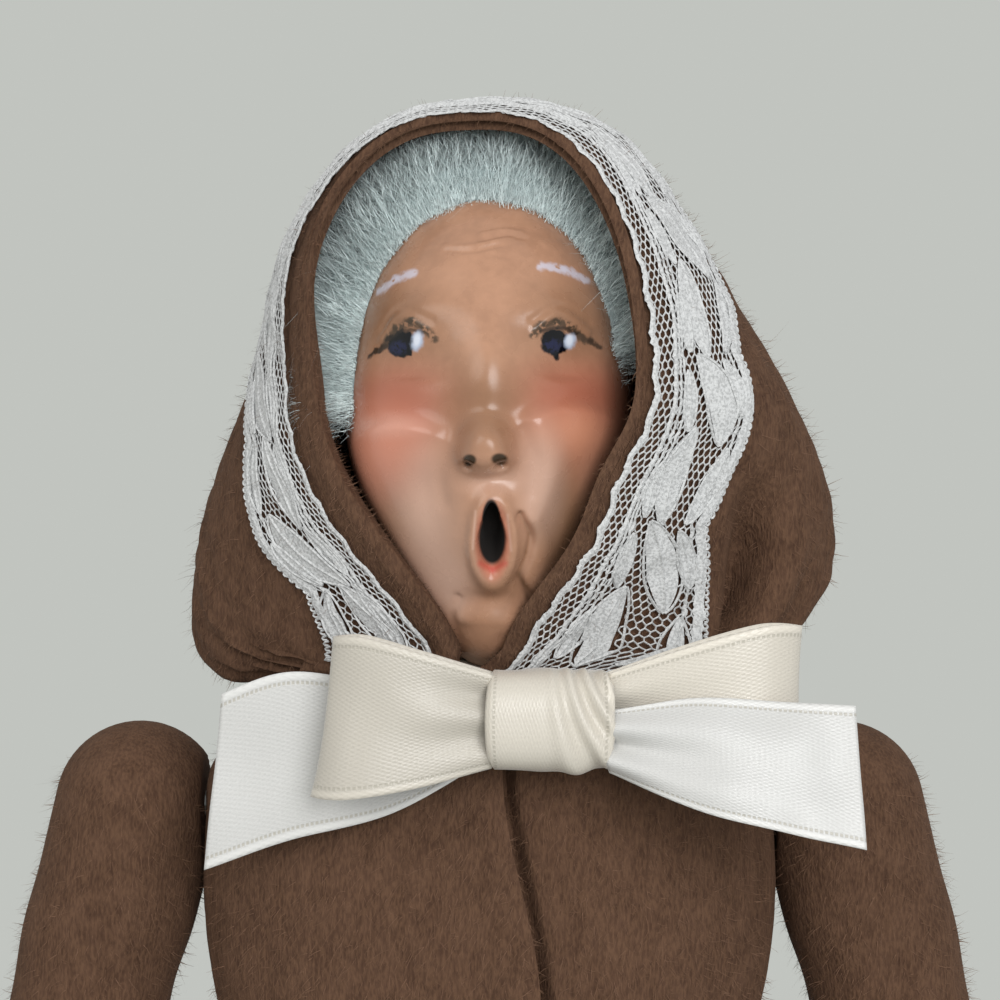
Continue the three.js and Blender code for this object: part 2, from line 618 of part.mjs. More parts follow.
function makeLoop(side, sign) {
  const root = KNOT_HALF_WIDTH + SEAT_GAP;
  const at = (reach) => KNOT_OFFSET + sign * reach;
  const front = knotY - KNOT_HALF_DEPTH;
  const rise = sign > 0 ? 2 : -0.5; // of the loop's end over the knot
  const end = knotHeight + rise;
  const stations = [
    [at(root), knotY - 1.6, knotHeight, WAIST_OF_RIBBON],
    [at(mix(root, LOOP_REACH, 0.4)), front + 1.4, mix(knotHeight, end, 0.4), 0.8 * RIBBON_WIDTH],
    [at(mix(root, LOOP_REACH, 0.8)), front + 1.6, end, RIBBON_WIDTH],
    [at(LOOP_REACH), front + 4.2, end, RIBBON_WIDTH],
    [at(mix(root, LOOP_REACH, 0.8)), front + 6.4, end, RIBBON_WIDTH],
    [at(mix(root, LOOP_REACH, 0.4)), front + 6, mix(knotHeight, end, 0.4), 0.8 * RIBBON_WIDTH],
    [at(root), knotY + 1.2, knotHeight, WAIST_OF_RIBBON],
  ];
  place(`bow_${side}_loop`, ribbonStrip(stations, 17), ivorySatin);
}

function makeTails() {
  const root = KNOT_HALF_WIDTH + SEAT_GAP;
  const behind = knotY + KNOT_HALF_DEPTH - 1.2;
  const ahead = knotY - KNOT_HALF_DEPTH + 0.6;
  const at = (reach) => KNOT_OFFSET + reach;
  place("bow_right_tail", ribbonStrip([
    [at(-root), behind, knotHeight - 1.5, 0.7 * WAIST_OF_RIBBON],
    [at(mix(-root, -RIGHT_TAIL_REACH, 0.35)), behind, knotHeight - 3.6, 0.85 * RIBBON_WIDTH],
    [at(mix(-root, -RIGHT_TAIL_REACH, 0.7)), behind + 1, knotHeight - 5.6, RIBBON_WIDTH],
    [at(-RIGHT_TAIL_REACH), behind + 2.4, knotHeight - 8, RIBBON_WIDTH],
  ], 9), ivorySatin);
  place("bow_left_tail", ribbonStrip([
    [at(root), knotY - 3, knotHeight - 2.2, 0.7 * WAIST_OF_RIBBON],
    [at(mix(root, LEFT_TAIL_REACH, 0.35)), ahead - 1.6, knotHeight - 3.4, 0.8 * RIBBON_WIDTH],
    [at(mix(root, LEFT_TAIL_REACH, 0.7)), ahead - 1.8, knotHeight - 5, RIBBON_WIDTH],
    [at(LEFT_TAIL_REACH), ahead - 1.4, knotHeight - 6.4, RIBBON_WIDTH],
  ], 9), ivorySatin);
}

// Coat and skirt. Rows run from the top: [height, half-width, half-depth, middle, fold depth] of the coat's face.
const coatNeckHalfWidth = NECK_RADIUS + COAT_NECK_EASE;
const coatNeckMiddle = -(NECK_FORWARD + COAT_NECK_FORWARD);
const coatWaistHalfWidth = WAIST_HALF_WIDTH + coatEase;
const coatWaistHalfDepth = WAIST_HALF_DEPTH + coatEase;
const hemShare = (z) => (waist - z) / (waist - COAT_HEM);
const flareRow = (z) => {
  const share = hemShare(z);
  const spread = share ** 0.85;
  return [z, mix(coatWaistHalfWidth, COAT_HEM_HALF_WIDTH, spread),
    mix(coatWaistHalfDepth, COAT_HEM_HALF_DEPTH, spread), 0, COAT_FOLD * Math.min(share, 1) ** 1.5];
};
// Shares of the way from the neck edge to the chest: [down to the shoulder wire, out to the side, out to the front].
const SHOULDER_SLOPE = [[0, 0, 0], [0.13, 0.72, 0.3], [0.4, 0.94, 0.66], [1, 1, 0.85]];
const coatRows = [
  ...SHOULDER_SLOPE.map(([down, out, ahead]) => [
    mix(coatTop, shoulder, down), mix(coatNeckHalfWidth, coatChestHalfWidth, out),
    mix(coatNeckHalfWidth, coatChestHalfDepth, ahead), mix(coatNeckMiddle, 0, ahead / 0.85), 0,
  ]),
  [chest, coatChestHalfWidth, coatChestHalfDepth, 0, 0],
  [mix(chest, waist, 0.45), mix(coatChestHalfWidth, coatWaistHalfWidth, 0.4),
    mix(coatChestHalfDepth, coatWaistHalfDepth, 0.2), 0, 0],
  [waist, coatWaistHalfWidth, coatWaistHalfDepth, 0, 0],
  ...[0.2, 0.45, 0.72, 1].map((share) => flareRow(mix(waist, COAT_HEM, share))),
];

function garmentPoint([z, halfWidth, halfDepth, middleY, fold], angle, inset) {
  const ripple = fold * Math.cos(COAT_FOLDS * angle);
  const [x, y] = ovalPoint(angle, halfWidth + ripple - inset, halfDepth + ripple - inset, GARMENT_SQUARENESS);
  return vec(x, y + middleY, z);
}

// A panel of a garment between two angles, which leaves half a gap at each sewn edge.
function garmentPanel(rows, from, to, columns, inset, thickness) {
  const layer = (extra) => rows.map((row) => {
    const edge = SEAT_GAP / 2 / Math.min(row[1], row[2]);
    return Array.from({ length: columns }, (_, j) =>
      garmentPoint(row, mix(from + edge, to - edge, j / (columns - 1)), inset + extra));
  });
  return wall(layer(0), layer(thickness));
}

function makeCoat() {
  const opening = Math.asin(FRONT_EDGE / coatChestHalfWidth);
  const quarter = Math.PI / 2;
  const armhole = rod(vec(-2 * shoulderX, 0, shoulder), vec(2 * shoulderX, 0, shoulder),
    SHOULDER_SLEEVE_RADIUS - 3 * FELT, ROUND_SIDES);
  const panel = (from, to, columns) => cut(garmentPanel(coatRows, from, to, columns, 0, FELT), armhole);
  place("coat_left_front", panel(opening, quarter, 9), brownFelt);
  place("coat_right_front", panel(-quarter, opening, 10), brownFelt);
  place("coat_back", panel(quarter, 3 * quarter, 17), brownFelt);
}

function makeSkirt() {
  const inset = FELT + CLOTH_EASE;
  const rows = [waist, mix(waist, COAT_HEM, 0.3), mix(waist, COAT_HEM, 0.65), COAT_HEM, SKIRT_HEM].map(flareRow);
  for (let gore = 0; gore < SKIRT_GORES; gore++) {
    const from = (2 * Math.PI * gore) / SKIRT_GORES;
    const to = (2 * Math.PI * (gore + 1)) / SKIRT_GORES;
    place(`skirt_gore_${gore + 1}`, garmentPanel(rows, from, to, 7, inset, SKIRT_CLOTH), skirtWool);
  }
}

// Arms, hung from the shoulder along -Z and then spread. The forearm's round elbow turns in the upper sleeve's end,
// and both sleeves are notched in front of it.
const sleeveBore = (radius) => radius - FELT;
const notchReach = 2 * ELBOW_SLEEVE_RADIUS;
const elbowSeat = ELBOW_SLEEVE_RADIUS + 2 * SEAT_GAP;
const elbowSolid = ELBOW_SLEEVE_RADIUS + 1.6; // of the forearm's sleeve, filled round the elbow

// A wedge in front of the elbow, above it on the forearm (towards 1) or below it on the upper arm (-1).
function elbowNotch(height, towards) {
  const slope = notchReach * Math.tan(rad(NOTCH_ANGLE));
  const outline = new THREE.Shape([
    new THREE.Vector2(0, 0), new THREE.Vector2(-notchReach, -towards * slope),
    new THREE.Vector2(-notchReach, towards * notchReach), new THREE.Vector2(0, towards * notchReach),
  ]);
  const prism = new THREE.ExtrudeGeometry(outline, { depth: 2 * notchReach, bevelEnabled: false });
  return prism.translate(0, 0, -notchReach).applyMatrix4(new THREE.Matrix4().set(
    0, 0, 1, 0,
    1, 0, 0, 0,
    0, 1, 0, height,
    0, 0, 0, 1,
  ));
}

// A ball whose facets run round the elbow's hinge line.
const hingeBall = (radius) => ball(radius).rotateZ(Math.PI / 2);

// A tube down from a rounded shoulder.
function armColumn(inset, end) {
  const top = SHOULDER_SLEEVE_RADIUS - inset;
  const dome = [90, 68, 45, 22].map((angle) => [top * Math.cos(rad(angle)), top * Math.sin(rad(angle))]);
  dome[0][0] = 0;
  return turned([
    ...dome, [top, 0], [top - 0.2, -0.3 * UPPER_ARM], [ELBOW_SLEEVE_RADIUS - inset, -0.75 * UPPER_ARM],
    [ELBOW_SLEEVE_RADIUS - inset, end], [0, end],
  ]);
}

function makeUpperArm(side, sign, armGroup) {
  const spread = -sign * rad(ARM_SPREAD);
  const beyond = 4 * SHOULDER_SLEEVE_RADIUS;
  const bodySide = shoulderX - sleevePlane;
  const torso = sign > 0
    ? box(vec(-beyond, -beyond, -beyond), vec(-bodySide, beyond, beyond))
    : box(vec(bodySide, -beyond, -beyond), vec(beyond, beyond, beyond));
  const seat = (extra) => hingeBall(elbowSeat + extra).translate(0, 0, -UPPER_ARM);
  const notch = elbowNotch(-UPPER_ARM, -1);
  const sleeve = cut(armColumn(0, -UPPER_ARM), armColumn(FELT, -UPPER_ARM - 1), seat(0), notch);
  place(`${side}_upper_sleeve`, cut(sleeve.rotateY(spread), torso), brownFelt, armGroup);

  const bore = WIRE_RADIUS + WIRE_CLEARANCE;
  const wireTop = -2 * WIRE_RADIUS - SEAT_GAP;
  const wireEnd = elbowSeat + 2 * SEAT_GAP - UPPER_ARM;
  const wireBore = rod(vec(0, 0, wireTop), vec(0, 0, -UPPER_ARM), bore);
  const padding = cut(armColumn(FELT + SEAT_GAP, -UPPER_ARM), seat(SEAT_GAP), notch, wireBore).rotateY(spread);
  const crossBore = rod(vec(-beyond, 0, 0), vec(beyond, 0, 0), bore);
  place(`${side}_upper_arm_padding`, cut(padding, torso, crossBore), tissue, armGroup);
  const wire = rod(vec(0, 0, wireTop - SEAT_GAP), vec(0, 0, wireEnd), WIRE_RADIUS).rotateY(spread);
  place(`${side}_upper_arm_wire`, wire, steel, armGroup);
}

function makeForearm(side, sign, armGroup) {
  const spreadGroup = new THREE.Group();
  spreadGroup.rotation.y = -sign * rad(ARM_SPREAD);
  const elbowGroup = new THREE.Group();
  elbowGroup.position.z = -UPPER_ARM;
  elbowGroup.rotation.x = -rad(ELBOW_REST);
  armGroup.add(spreadGroup);
  spreadGroup.add(elbowGroup);
  const tube = turned([
    [0, 0], [ELBOW_SLEEVE_RADIUS, 0], [ELBOW_SLEEVE_RADIUS - 0.3, -0.5 * FOREARM], [CUFF_RADIUS, -FOREARM],
    [0, -FOREARM],
  ]);
  const inside = turned([
    [0, -elbowSolid], [sleeveBore(ELBOW_SLEEVE_RADIUS), -elbowSolid],
    [sleeveBore(ELBOW_SLEEVE_RADIUS) - 0.3, -0.5 * FOREARM], [sleeveBore(CUFF_RADIUS), -FOREARM - 1],
    [0, -FOREARM - 1],
  ]);
  const notched = cut(tube, elbowNotch(0, 1));
  place(`${side}_lower_sleeve`, cut(join(notched, hingeBall(ELBOW_SLEEVE_RADIUS)), inside), brownFelt, elbowGroup);

  const bore = WIRE_RADIUS + WIRE_CLEARANCE;
  const armTop = -elbowSolid - SEAT_GAP;
  const wristEnd = CUFF_OVERLAP - FOREARM;
  const armRadius = sleeveBore(ELBOW_SLEEVE_RADIUS) - 0.3 - SEAT_GAP;
  const wireTop = armTop - SEAT_GAP;
  const wireEnd = -FOREARM - MITTEN_LENGTH / 2;
  const core = turned([
    [0, armTop], [armRadius, armTop], [armRadius, -0.5 * FOREARM], [WRIST_RADIUS, wristEnd], [0, wristEnd],
  ]);
  const coreBore = rod(vec(0, 0, wireTop + SEAT_GAP / 2), vec(0, 0, -FOREARM), bore);
  place(`${side}_forearm_padding`, cut(core, coreBore), tissue, elbowGroup);
  place(`${side}_forearm_wire`, rod(vec(0, 0, wireTop - SEAT_GAP), vec(0, 0, wireEnd), WIRE_RADIUS), steel,
    elbowGroup);

  const top = wristEnd - SEAT_GAP;
  const palm = loft([
    [0, WRIST_RADIUS, WRIST_RADIUS - 0.4], [0.22, WRIST_RADIUS, WRIST_RADIUS - 0.6],
    [0.5, MITTEN_HALF_WIDTH, MITTEN_HALF_DEPTH], [0.75, MITTEN_HALF_WIDTH, MITTEN_HALF_DEPTH],
    [0.93, 0.75 * MITTEN_HALF_WIDTH, 0.8 * MITTEN_HALF_DEPTH],
    [1, 0.35 * MITTEN_HALF_WIDTH, 0.4 * MITTEN_HALF_DEPTH],
  ].map(([share, halfWidth, halfDepth]) =>
    ovalRing(top - share * (MITTEN_LENGTH + CUFF_OVERLAP), halfDepth, halfWidth, ROUND_SIDES)));
  const thumb = turned([[0, 0], [2.4, -1], [2.7, -6], [1.6, -9.5], [0, -10.4]], 10)
    .rotateX(-rad(38)).translate(0, -0.55 * MITTEN_HALF_WIDTH, -FOREARM - 0.22 * MITTEN_LENGTH);
  const wireBore = rod(vec(0, 0, top + 1), vec(0, 0, wireEnd - SEAT_GAP), bore);
  place(`${side}_mitten`, cut(join(palm, thumb), wireBore), mittenWool, elbowGroup);
}

function makeArm(side, sign) {
  const armGroup = new THREE.Group();
  armGroup.position.set(sign * shoulderX, 0, shoulder);
  figure.add(armGroup);
  makeUpperArm(side, sign, armGroup);
  makeForearm(side, sign, armGroup);
}

makeBase();
makeLeg("left", STANCE);
makeLeg("right", -STANCE);
makeBody();
makeNeck();
makeHead();
makeHair();
makeHood();
makeLace();
makeNeckBand();
makeKnot();
makeLoop("left", 1);
makeLoop("right", -1);
makeTails();
makeCoat();
makeSkirt();
makeArm("left", 1);
makeArm("right", -1);

export default figure;
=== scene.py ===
"""Looks of a caroler figurine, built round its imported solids.

Shapes are in millimetres, objects in metres. The figure faces -Y and its left is +X.
"""

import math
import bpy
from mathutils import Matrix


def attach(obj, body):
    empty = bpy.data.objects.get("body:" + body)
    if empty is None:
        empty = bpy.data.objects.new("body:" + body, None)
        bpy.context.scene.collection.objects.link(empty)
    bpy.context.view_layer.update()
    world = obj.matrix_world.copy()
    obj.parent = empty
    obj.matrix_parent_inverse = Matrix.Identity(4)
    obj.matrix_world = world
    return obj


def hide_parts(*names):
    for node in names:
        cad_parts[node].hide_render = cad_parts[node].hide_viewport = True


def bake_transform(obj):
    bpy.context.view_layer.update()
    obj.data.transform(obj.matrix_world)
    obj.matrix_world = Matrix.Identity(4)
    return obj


bl_info = {
    "name": "Caroler figurine",
    "version": (1, 0, 0),
    "blender": (4, 5, 0),
    "location": "View3D > Sidebar > Caroler",
    "description": "Builds the felt, lace, ribbon, hair and painted face of a caroler figurine",
    "category": "Object",
}

import bpy
import numpy as np
from bpy.props import FloatProperty, FloatVectorProperty, IntProperty, PointerProperty

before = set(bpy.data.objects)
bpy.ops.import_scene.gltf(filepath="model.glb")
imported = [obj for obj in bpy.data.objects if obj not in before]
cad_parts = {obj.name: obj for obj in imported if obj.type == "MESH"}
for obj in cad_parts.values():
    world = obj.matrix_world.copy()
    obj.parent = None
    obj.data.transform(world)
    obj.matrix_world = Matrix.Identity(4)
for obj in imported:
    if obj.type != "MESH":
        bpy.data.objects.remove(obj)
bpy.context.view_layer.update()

MM = 0.001
FELT = 1.2
FELT_EDGE = 0.4
RIBBON_WIDTH = 15.9

HEAD_MIDDLE = np.array([0.0, -4.0, 296.6])
HEAD_HALF = (16.5, 19.5, 26.8)
MOUTH_MIDDLE = (0.3, -12.7)
MOUTH_HALF = (1.4, 3.6)

HOOD_FOOT = 267.2
HOOD_NECK = 12.5
HOOD_HALF_HEIGHT = 35.6
HOOD_HALF_DEPTH = 28.7
HOOD_TURN = math.radians(-13)
HOOD_PLACE = np.array([-0.8, -3.4, 0.0])

KNOT = np.array([6.4, -26.2, 264.1])
KNOT_HALF = (6.6, 4.8, 5.4)
BAND_HALF = (13.75, 14.85)
BAND_MIDDLE = -6.0
RIBBON_THICKNESS = 0.34
KNOT_FRONT = KNOT[1] - KNOT_HALF[1]
RIBBON_ROOT = KNOT_HALF[0] - 0.6
SHOULDER = 252.0
SHOULDER_X = 40.58
UPPER_ARM = 45.0
FOREARM = 40.0
ARM_SPREAD = math.radians(14)
ELBOW_REST = math.radians(35)
SLEEVE_PLANE = 32.9
SLEEVE_RADIUS = 9.6
ELBOW_SOFT = 9.0
COLLAR = 261.0
COLLAR_HALF = (15.2, 15.2)
CHEST_HALF = (32.6, 22.1)
WAIST = 200.0
WAIST_HALF = (24.6, 20.1)
HEM_HALF = (47.0, 42.0)
COAT_HEM = 40.0
SKIRT_HEM = 13.0
SIDES = {"left": 1.0, "right": -1.0}


def colour(label, description, default):
    return FloatVectorProperty(name=label, description=description, subtype="COLOR", size=3, min=0, max=1,
                               default=default)


def length(label, description, default, low, high):
    return FloatProperty(name=label, description=description, unit="LENGTH", precision=5, min=low, max=high,
                         default=default)


def count(label, description, default):
    return IntProperty(name=label, description=description, min=100, max=40000, default=default)


def power(label, description, default):
    return FloatProperty(name=label, description=description, unit="POWER", min=0, max=100, default=default)


class CarolerFelt(bpy.types.PropertyGroup):
    """The brushed felt of the hood, coat and sleeves."""
    shade: colour("Felt", "Colour of the felt's body", (0.114, 0.061, 0.035))
    dark: colour("Felt hollows", "Colour between the fibres", (0.060, 0.030, 0.018))
    tips: colour("Felt fibres", "Colour of the loose fibres that stand off the felt", (0.178, 0.098, 0.060))
    nap: length("Nap", "Length of the short fibres", 0.0015, 0.0002, 0.006)
    fibres: count("Fibres", "Short fibres on the hood", 15000)


class CarolerFace(bpy.types.PropertyGroup):
    """The painted face."""
    skin: colour("Skin", "Colour of the painted skin", (0.435, 0.235, 0.145))
    # Painted shade: darkens the hollows round the eyes and also the nose, the creases by the mouth and chin,
    # and the cheek under the hood's rim.
    shadow: colour("Skin shading", "Wash in the hollows round the eyes", (0.235, 0.120, 0.062))
    blush: colour("Blush", "Colour on the cheeks and lips", (0.365, 0.110, 0.065))
    eye: colour("Eyes", "Colour of the painted eyes", (0.002, 0.002, 0.004))
    brow: colour("Brows", "Colour of the painted brows", (0.600, 0.560, 0.630))


class CarolerHair(bpy.types.PropertyGroup):
    """The fuzzy wig strip."""
    shade: colour("Hair", "Colour of the fibres", (0.575, 0.655, 0.650))
    # The darker tone gives random darker locks, and on the wig's backing it is a painted shade of the depth
    # between the fibres.
    dark: colour("Hair depth", "Colour deep between the fibres", (0.330, 0.410, 0.415))
    strand: length("Strand", "Length of a typical fibre", 0.0062, 0.001, 0.02)
    strands: count("Strands", "Number of fibres", 33000)


class CarolerTrim(bpy.types.PropertyGroup):
    """The lace and the ribbon."""
    lace: colour("Lace", "Colour of the lace thread", (0.620, 0.632, 0.628))
    thread: length("Lace thread", "Thickness of the net's thread", 0.00019, 0.0001, 0.001)
    ribbon: colour("Ribbon", "Colour of the satin ribbon", (0.640, 0.600, 0.520))
    reverse: colour("Ribbon back", "Colour of the ribbon's paler back", (0.625, 0.625, 0.605))
    stitch: colour("Ribbon edge", "Colour of the stitched line near each edge", (0.420, 0.395, 0.330))


class CarolerLower(bpy.types.PropertyGroup):
    """The mittens, skirt, boots and base."""
    mitten: colour("Mittens", "Colour of the mittens", (0.620, 0.560, 0.440))
    skirt: colour("Skirt", "Colour of the skirt", (0.044, 0.057, 0.034))
    boot: colour("Boots", "Colour of the boots", (0.014, 0.012, 0.011))
    board: colour("Base", "Colour of the base board", (0.230, 0.120, 0.058))
    padding: colour("Padding", "Colour of the inner padding", (0.700, 0.640, 0.520))


class CarolerStage(bpy.types.PropertyGroup):
    """The floor, lamps and camera."""
    backdrop: colour("Backdrop", "Colour behind the figure", (0.535, 0.552, 0.522))
    key: power("Key lamp", "Power of the main lamp", 4.2)
    fill: power("Fill lamp", "Power of the second lamp", 2.0)
    ambient: FloatProperty(name="Ambient", description="Strength of the even light all round", min=0, max=2,
                           default=0.44)
    view_angle: FloatProperty(name="View angle", description="The camera's angle of view", subtype="ANGLE",
                              min=0.05, max=2, default=math.radians(23.4))


class CarolerSettings(bpy.types.PropertyGroup):
    """All the figure's settings."""
    felt: PointerProperty(type=CarolerFelt)
    face: PointerProperty(type=CarolerFace)
    hair: PointerProperty(type=CarolerHair)
    trim: PointerProperty(type=CarolerTrim)
    lower: PointerProperty(type=CarolerLower)
    stage: PointerProperty(type=CarolerStage)


def settings():
    return bpy.context.scene.caroler


def rgba(value):
    return (value[0], value[1], value[2], 1.0)


def tinted(tint, factor):
    """A lighter or darker copy of a colour."""
    return tuple(min(factor * v, 1.0) for v in tint)


# Numbers and vectors

def mix(a, b, t):
    return a + (b - a) * t


def smooth(x, low, high):
    t = np.clip((x - low) / (high - low), 0, 1)
    return t * t * (3 - 2 * t)


def hump(x, width, middle=0.0):
    """A smooth hill that is 1 at its middle and falls off over its width."""
    return np.exp(-((x - middle) / width) ** 2)


def stacked(*parts):
    """Arrays of points or directions from arrays of their parts."""
    return np.stack(np.broadcast_arrays(*parts), -1)


def unit(v):
    return v / np.maximum(np.linalg.norm(v, axis=-1, keepdims=True), 1e-9)


def ripple(u, v, seed, waves=7):
    """A smooth wandering value of about -1 to 1 over u and v."""
    rng = np.random.default_rng(seed)
    total = np.zeros(np.broadcast(u, v).shape)
    for _ in range(waves):
        turn = rng.uniform(0, 2 * math.pi)
        rate = rng.uniform(1.0, 3.0)
        total = total + np.sin(rate * (u * math.cos(turn) + v * math.sin(turn)) + rng.uniform(0, 6.28))
    return total / math.sqrt(waves * 0.5) * 0.5


def spline(stations, count):
    """Points along a smooth curve through the stations, spaced evenly in the curve's own measure."""
    stations = np.asarray(stations, dtype=float)
    padded = np.vstack([2 * stations[0] - stations[1], stations, 2 * stations[-1] - stations[-2]])
    t = np.linspace(0, len(stations) - 1, count)
    i = np.minimum(t.astype(int), len(stations) - 2)
    f = (t - i)[:, None]
    a, b, c, d = padded[i], padded[i + 1], padded[i + 2], padded[i + 3]
    curve = (2 * a - 5 * b + 4 * c - d) * f ** 2 + (3 * b - a - 3 * c + d) * f ** 3
    return 0.5 * (2 * b + (c - a) * f + curve)


def near_path(x, z, path):
    """Distance from points to a path drawn on the face, in millimetres."""
    best = np.full(x.shape, 1e9)
    for (ax, az), (bx, bz) in zip(path[:-1], path[1:]):
        dx, dz = bx - ax, bz - az
        t = np.clip(((x - ax) * dx + (z - az) * dz) / (dx * dx + dz * dz), 0, 1)
        best = np.minimum(best, np.hypot(x - ax - t * dx, z - az - t * dz))
    return best


# Meshes

def grid_faces(rows, columns, round_rows=False, round_columns=False):
    i, j = np.meshgrid(np.arange(rows if round_rows else rows - 1),
                       np.arange(columns if round_columns else columns - 1), indexing="ij")
    below = (i + 1) % rows * columns
    here = i * columns
    beside = (j + 1) % columns
    return np.stack([here + j, here + beside, below + beside, below + j], -1).reshape(-1, 4)


def add_object(name, data):
    obj = bpy.data.objects.new(name, data)
    bpy.context.scene.collection.objects.link(obj)
    return obj


def add_piece(name, points, faces, material, body, nodes=(), uv=None):
    """A smooth mesh object from points in millimetres. It rides on a body unless that is None."""
    mesh = bpy.data.meshes.new(name)
    points = np.asarray(points, dtype=float).reshape(-1, 3)
    mesh.from_pydata((points * MM).tolist(), [], faces if isinstance(faces, list) else faces.tolist())
    mesh.polygons.foreach_set("use_smooth", np.ones(len(mesh.polygons), dtype=bool))
    if uv is not None:
        layer = mesh.uv_layers.new(name="cloth")
        corners = np.empty(len(mesh.loops), dtype=np.int32)
        mesh.loops.foreach_get("vertex_index", corners)
        layer.data.foreach_set("uv", np.asarray(uv, dtype=np.float32).reshape(-1, 2)[corners].ravel())
    mesh.materials.append(material)
    mesh.update()
    obj = add_object(name, mesh)
    if nodes:
        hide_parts(*nodes)
    if body:
        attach(obj, body)
    return obj


def apply_modifiers(obj):
    """Keeps the shape that the object's modifiers give."""
    graph = bpy.context.evaluated_depsgraph_get()
    shaped = bpy.data.meshes.new_from_object(obj.evaluated_get(graph))
    obj.modifiers.clear()
    obj.data = shaped


def thicken(obj, thickness, rounding=0.0):
    """Gives a sheet its thickness behind its face, with rounded edges."""
    solid = obj.modifiers.new("thickness", "SOLIDIFY")
    solid.thickness = thickness * MM
    solid.offset = -1
    solid.use_even_offset = False
    if rounding:
        bevel = obj.modifiers.new("edge", "BEVEL")
        bevel.width = rounding * MM
        bevel.segments = 2
        bevel.limit_method = "ANGLE"
        bevel.angle_limit = math.radians(60)
    apply_modifiers(obj)


def swept(centres, wide, thick):
    """Closed four-sided strips. Arrays are strip by station by xyz; wide and thick are half sizes."""
    strips, stations = centres.shape[:2]
    points = np.stack([centres - wide, centres + thick, centres + wide, centres - thick], axis=2)
    faces = grid_faces(stations, 4, round_columns=True)
    ends = np.array([[3, 2, 1, 0], np.arange(4) + 4 * (stations - 1)])
    faces = np.vstack([faces, ends])
    faces = faces[None] + (np.arange(strips) * stations * 4)[:, None, None]
    return points.reshape(-1, 3), faces.reshape(-1, 4)


def blades(roots, along, bend, lengths, widths, facing, stations=4):
    """Flat fibres that taper to a tip. Each leaves its root along one vector and bends towards another."""
    t = np.linspace(0, 1, stations)[None, :, None]
    reach = lengths[:, None, None]
    centres = roots[:, None] + reach * (along[:, None] * t + bend[:, None] * t ** 2)
    across = unit(np.cross(along + bend, facing))
    half = 0.5 * widths[:, None, None] * (1 - 0.85 * t) * across[:, None]
    points = np.stack([centres - half, centres + half], axis=2)
    faces = grid_faces(stations, 2)
    faces = faces[None] + (np.arange(len(roots)) * stations * 2)[:, None, None]
    return points.reshape(-1, 3), faces.reshape(-1, 4)


def joined(parts):
    """One list of points and faces from several."""
    points = []
    faces = []
    count = 0
    for some_points, some_faces in parts:
        points.append(some_points)
        faces.append(some_faces + count)
        count += len(some_points)
    return np.vstack(points), np.vstack(faces)


def scatter(grid, count, seed):
    """Random points spread evenly over a grid's surface, and their normals."""
    rng = np.random.default_rng(seed)
    a, b, c, d = grid[:-1, :-1], grid[:-1, 1:], grid[1:, 1:], grid[1:, :-1]
    normal = np.cross(c - a, d - b)
    area = np.linalg.norm(normal, axis=-1).ravel()
    cell = rng.choice(len(area), size=count, p=area / area.sum())
    i, j = np.unravel_index(cell, a.shape[:2])
    u, v = rng.random((2, count, 1))
    points = mix(mix(a[i, j], b[i, j], u), mix(d[i, j], c[i, j], u), v)
    return points, unit(normal[i, j])


def nap_fibres(grid, count, seed, reach, outward, bare):
    """Short fibres brushed down over a surface, with a few long strays.

    A negative outward turns the surface. Bare says which roots get no fibre.
    """
    rng = np.random.default_rng(seed + 1)
    roots, normals = scatter(grid, count, seed)
    normals = normals * outward
    down = np.array([0.0, 0.0, -1.0]) + normals * normals[:, 2:3]
    loose = rng.normal(0, 1, (count, 3))
    stray = rng.random(count) < 0.006
    along = unit(normals * rng.uniform(0.15, 0.75, (count, 1)) + 0.7 * down + 0.55 * loose)
    along[stray] = unit(normals[stray] + 0.8 * loose[stray])
    inward = np.minimum((along * normals).sum(axis=1, keepdims=True), 0.05)
    along = unit(along + normals * (0.12 - inward))
    lengths = reach * rng.uniform(0.5, 1.35, count)
    lengths[stray] *= 1.8
    widths = 0.07 * rng.uniform(0.6, 1.3, count) * np.where(stray, 0.38, 1.0)
    bend = 0.225 * loose[:, [1, 2, 0]] + 0.1 * down
    kept = slice(None) if bare is None else ~bare(roots)
    roots = roots - 0.1 * normals
    return blades(*(values[kept] for values in (roots, along, bend, lengths, widths, normals)), stations=3)


def rounded_copy(node, name, voxel, smoothing):
    """A finer, softer copy of a solid, as an object with no body yet."""
    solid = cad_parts[node]
    obj = add_object(name, solid.data.copy())
    obj.matrix_world = solid.matrix_world
    obj.data.materials.clear()
    remesh = obj.modifiers.new("even", "REMESH")
    remesh.mode = "VOXEL"
    remesh.voxel_size = voxel * MM
    remesh.use_smooth_shade = True
    relax = obj.modifiers.new("soft", "SMOOTH")
    relax.factor = 0.5
    relax.iterations = smoothing
    bpy.context.view_layer.update()
    apply_modifiers(obj)
    return obj


def shift_points(obj, move):
    """Moves each point along its normal by move(x, y, z), in millimetres."""
    count = len(obj.data.vertices)
    points = np.empty(count * 3)
    normals = np.empty(count * 3)
    obj.data.vertices.foreach_get("co", points)
    obj.data.vertex_normals.foreach_get("vector", normals)
    points = points.reshape(-1, 3)
    by = move(*(points.T / MM))
    obj.data.vertices.foreach_set("co", (points + normals.reshape(-1, 3) * by[:, None] * MM).ravel())
    obj.data.update()


def soft_copy(node, ending, voxel, smoothing, move, material, body):
    """A rounded copy of a solid with its points moved, which takes the solid's place."""
    obj = rounded_copy(node, f"{node}_{ending}", voxel, smoothing)
    shift_points(obj, move)
    obj.data.materials.append(material)
    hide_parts(node)
    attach(obj, body)
    return obj


# Shader nodes

def add_node(tree, kind, inputs=None, **options):
    """A node with its options and inputs set. An input is a value or another node's output."""
    node = tree.nodes.new(kind)
    for key, value in options.items():
        setattr(node, key, value)
    for key, value in (inputs or {}).items():
        if isinstance(value, bpy.types.NodeSocket):
            tree.links.new(value, node.inputs[key])
        else:
            node.inputs[key].default_value = value
    return node


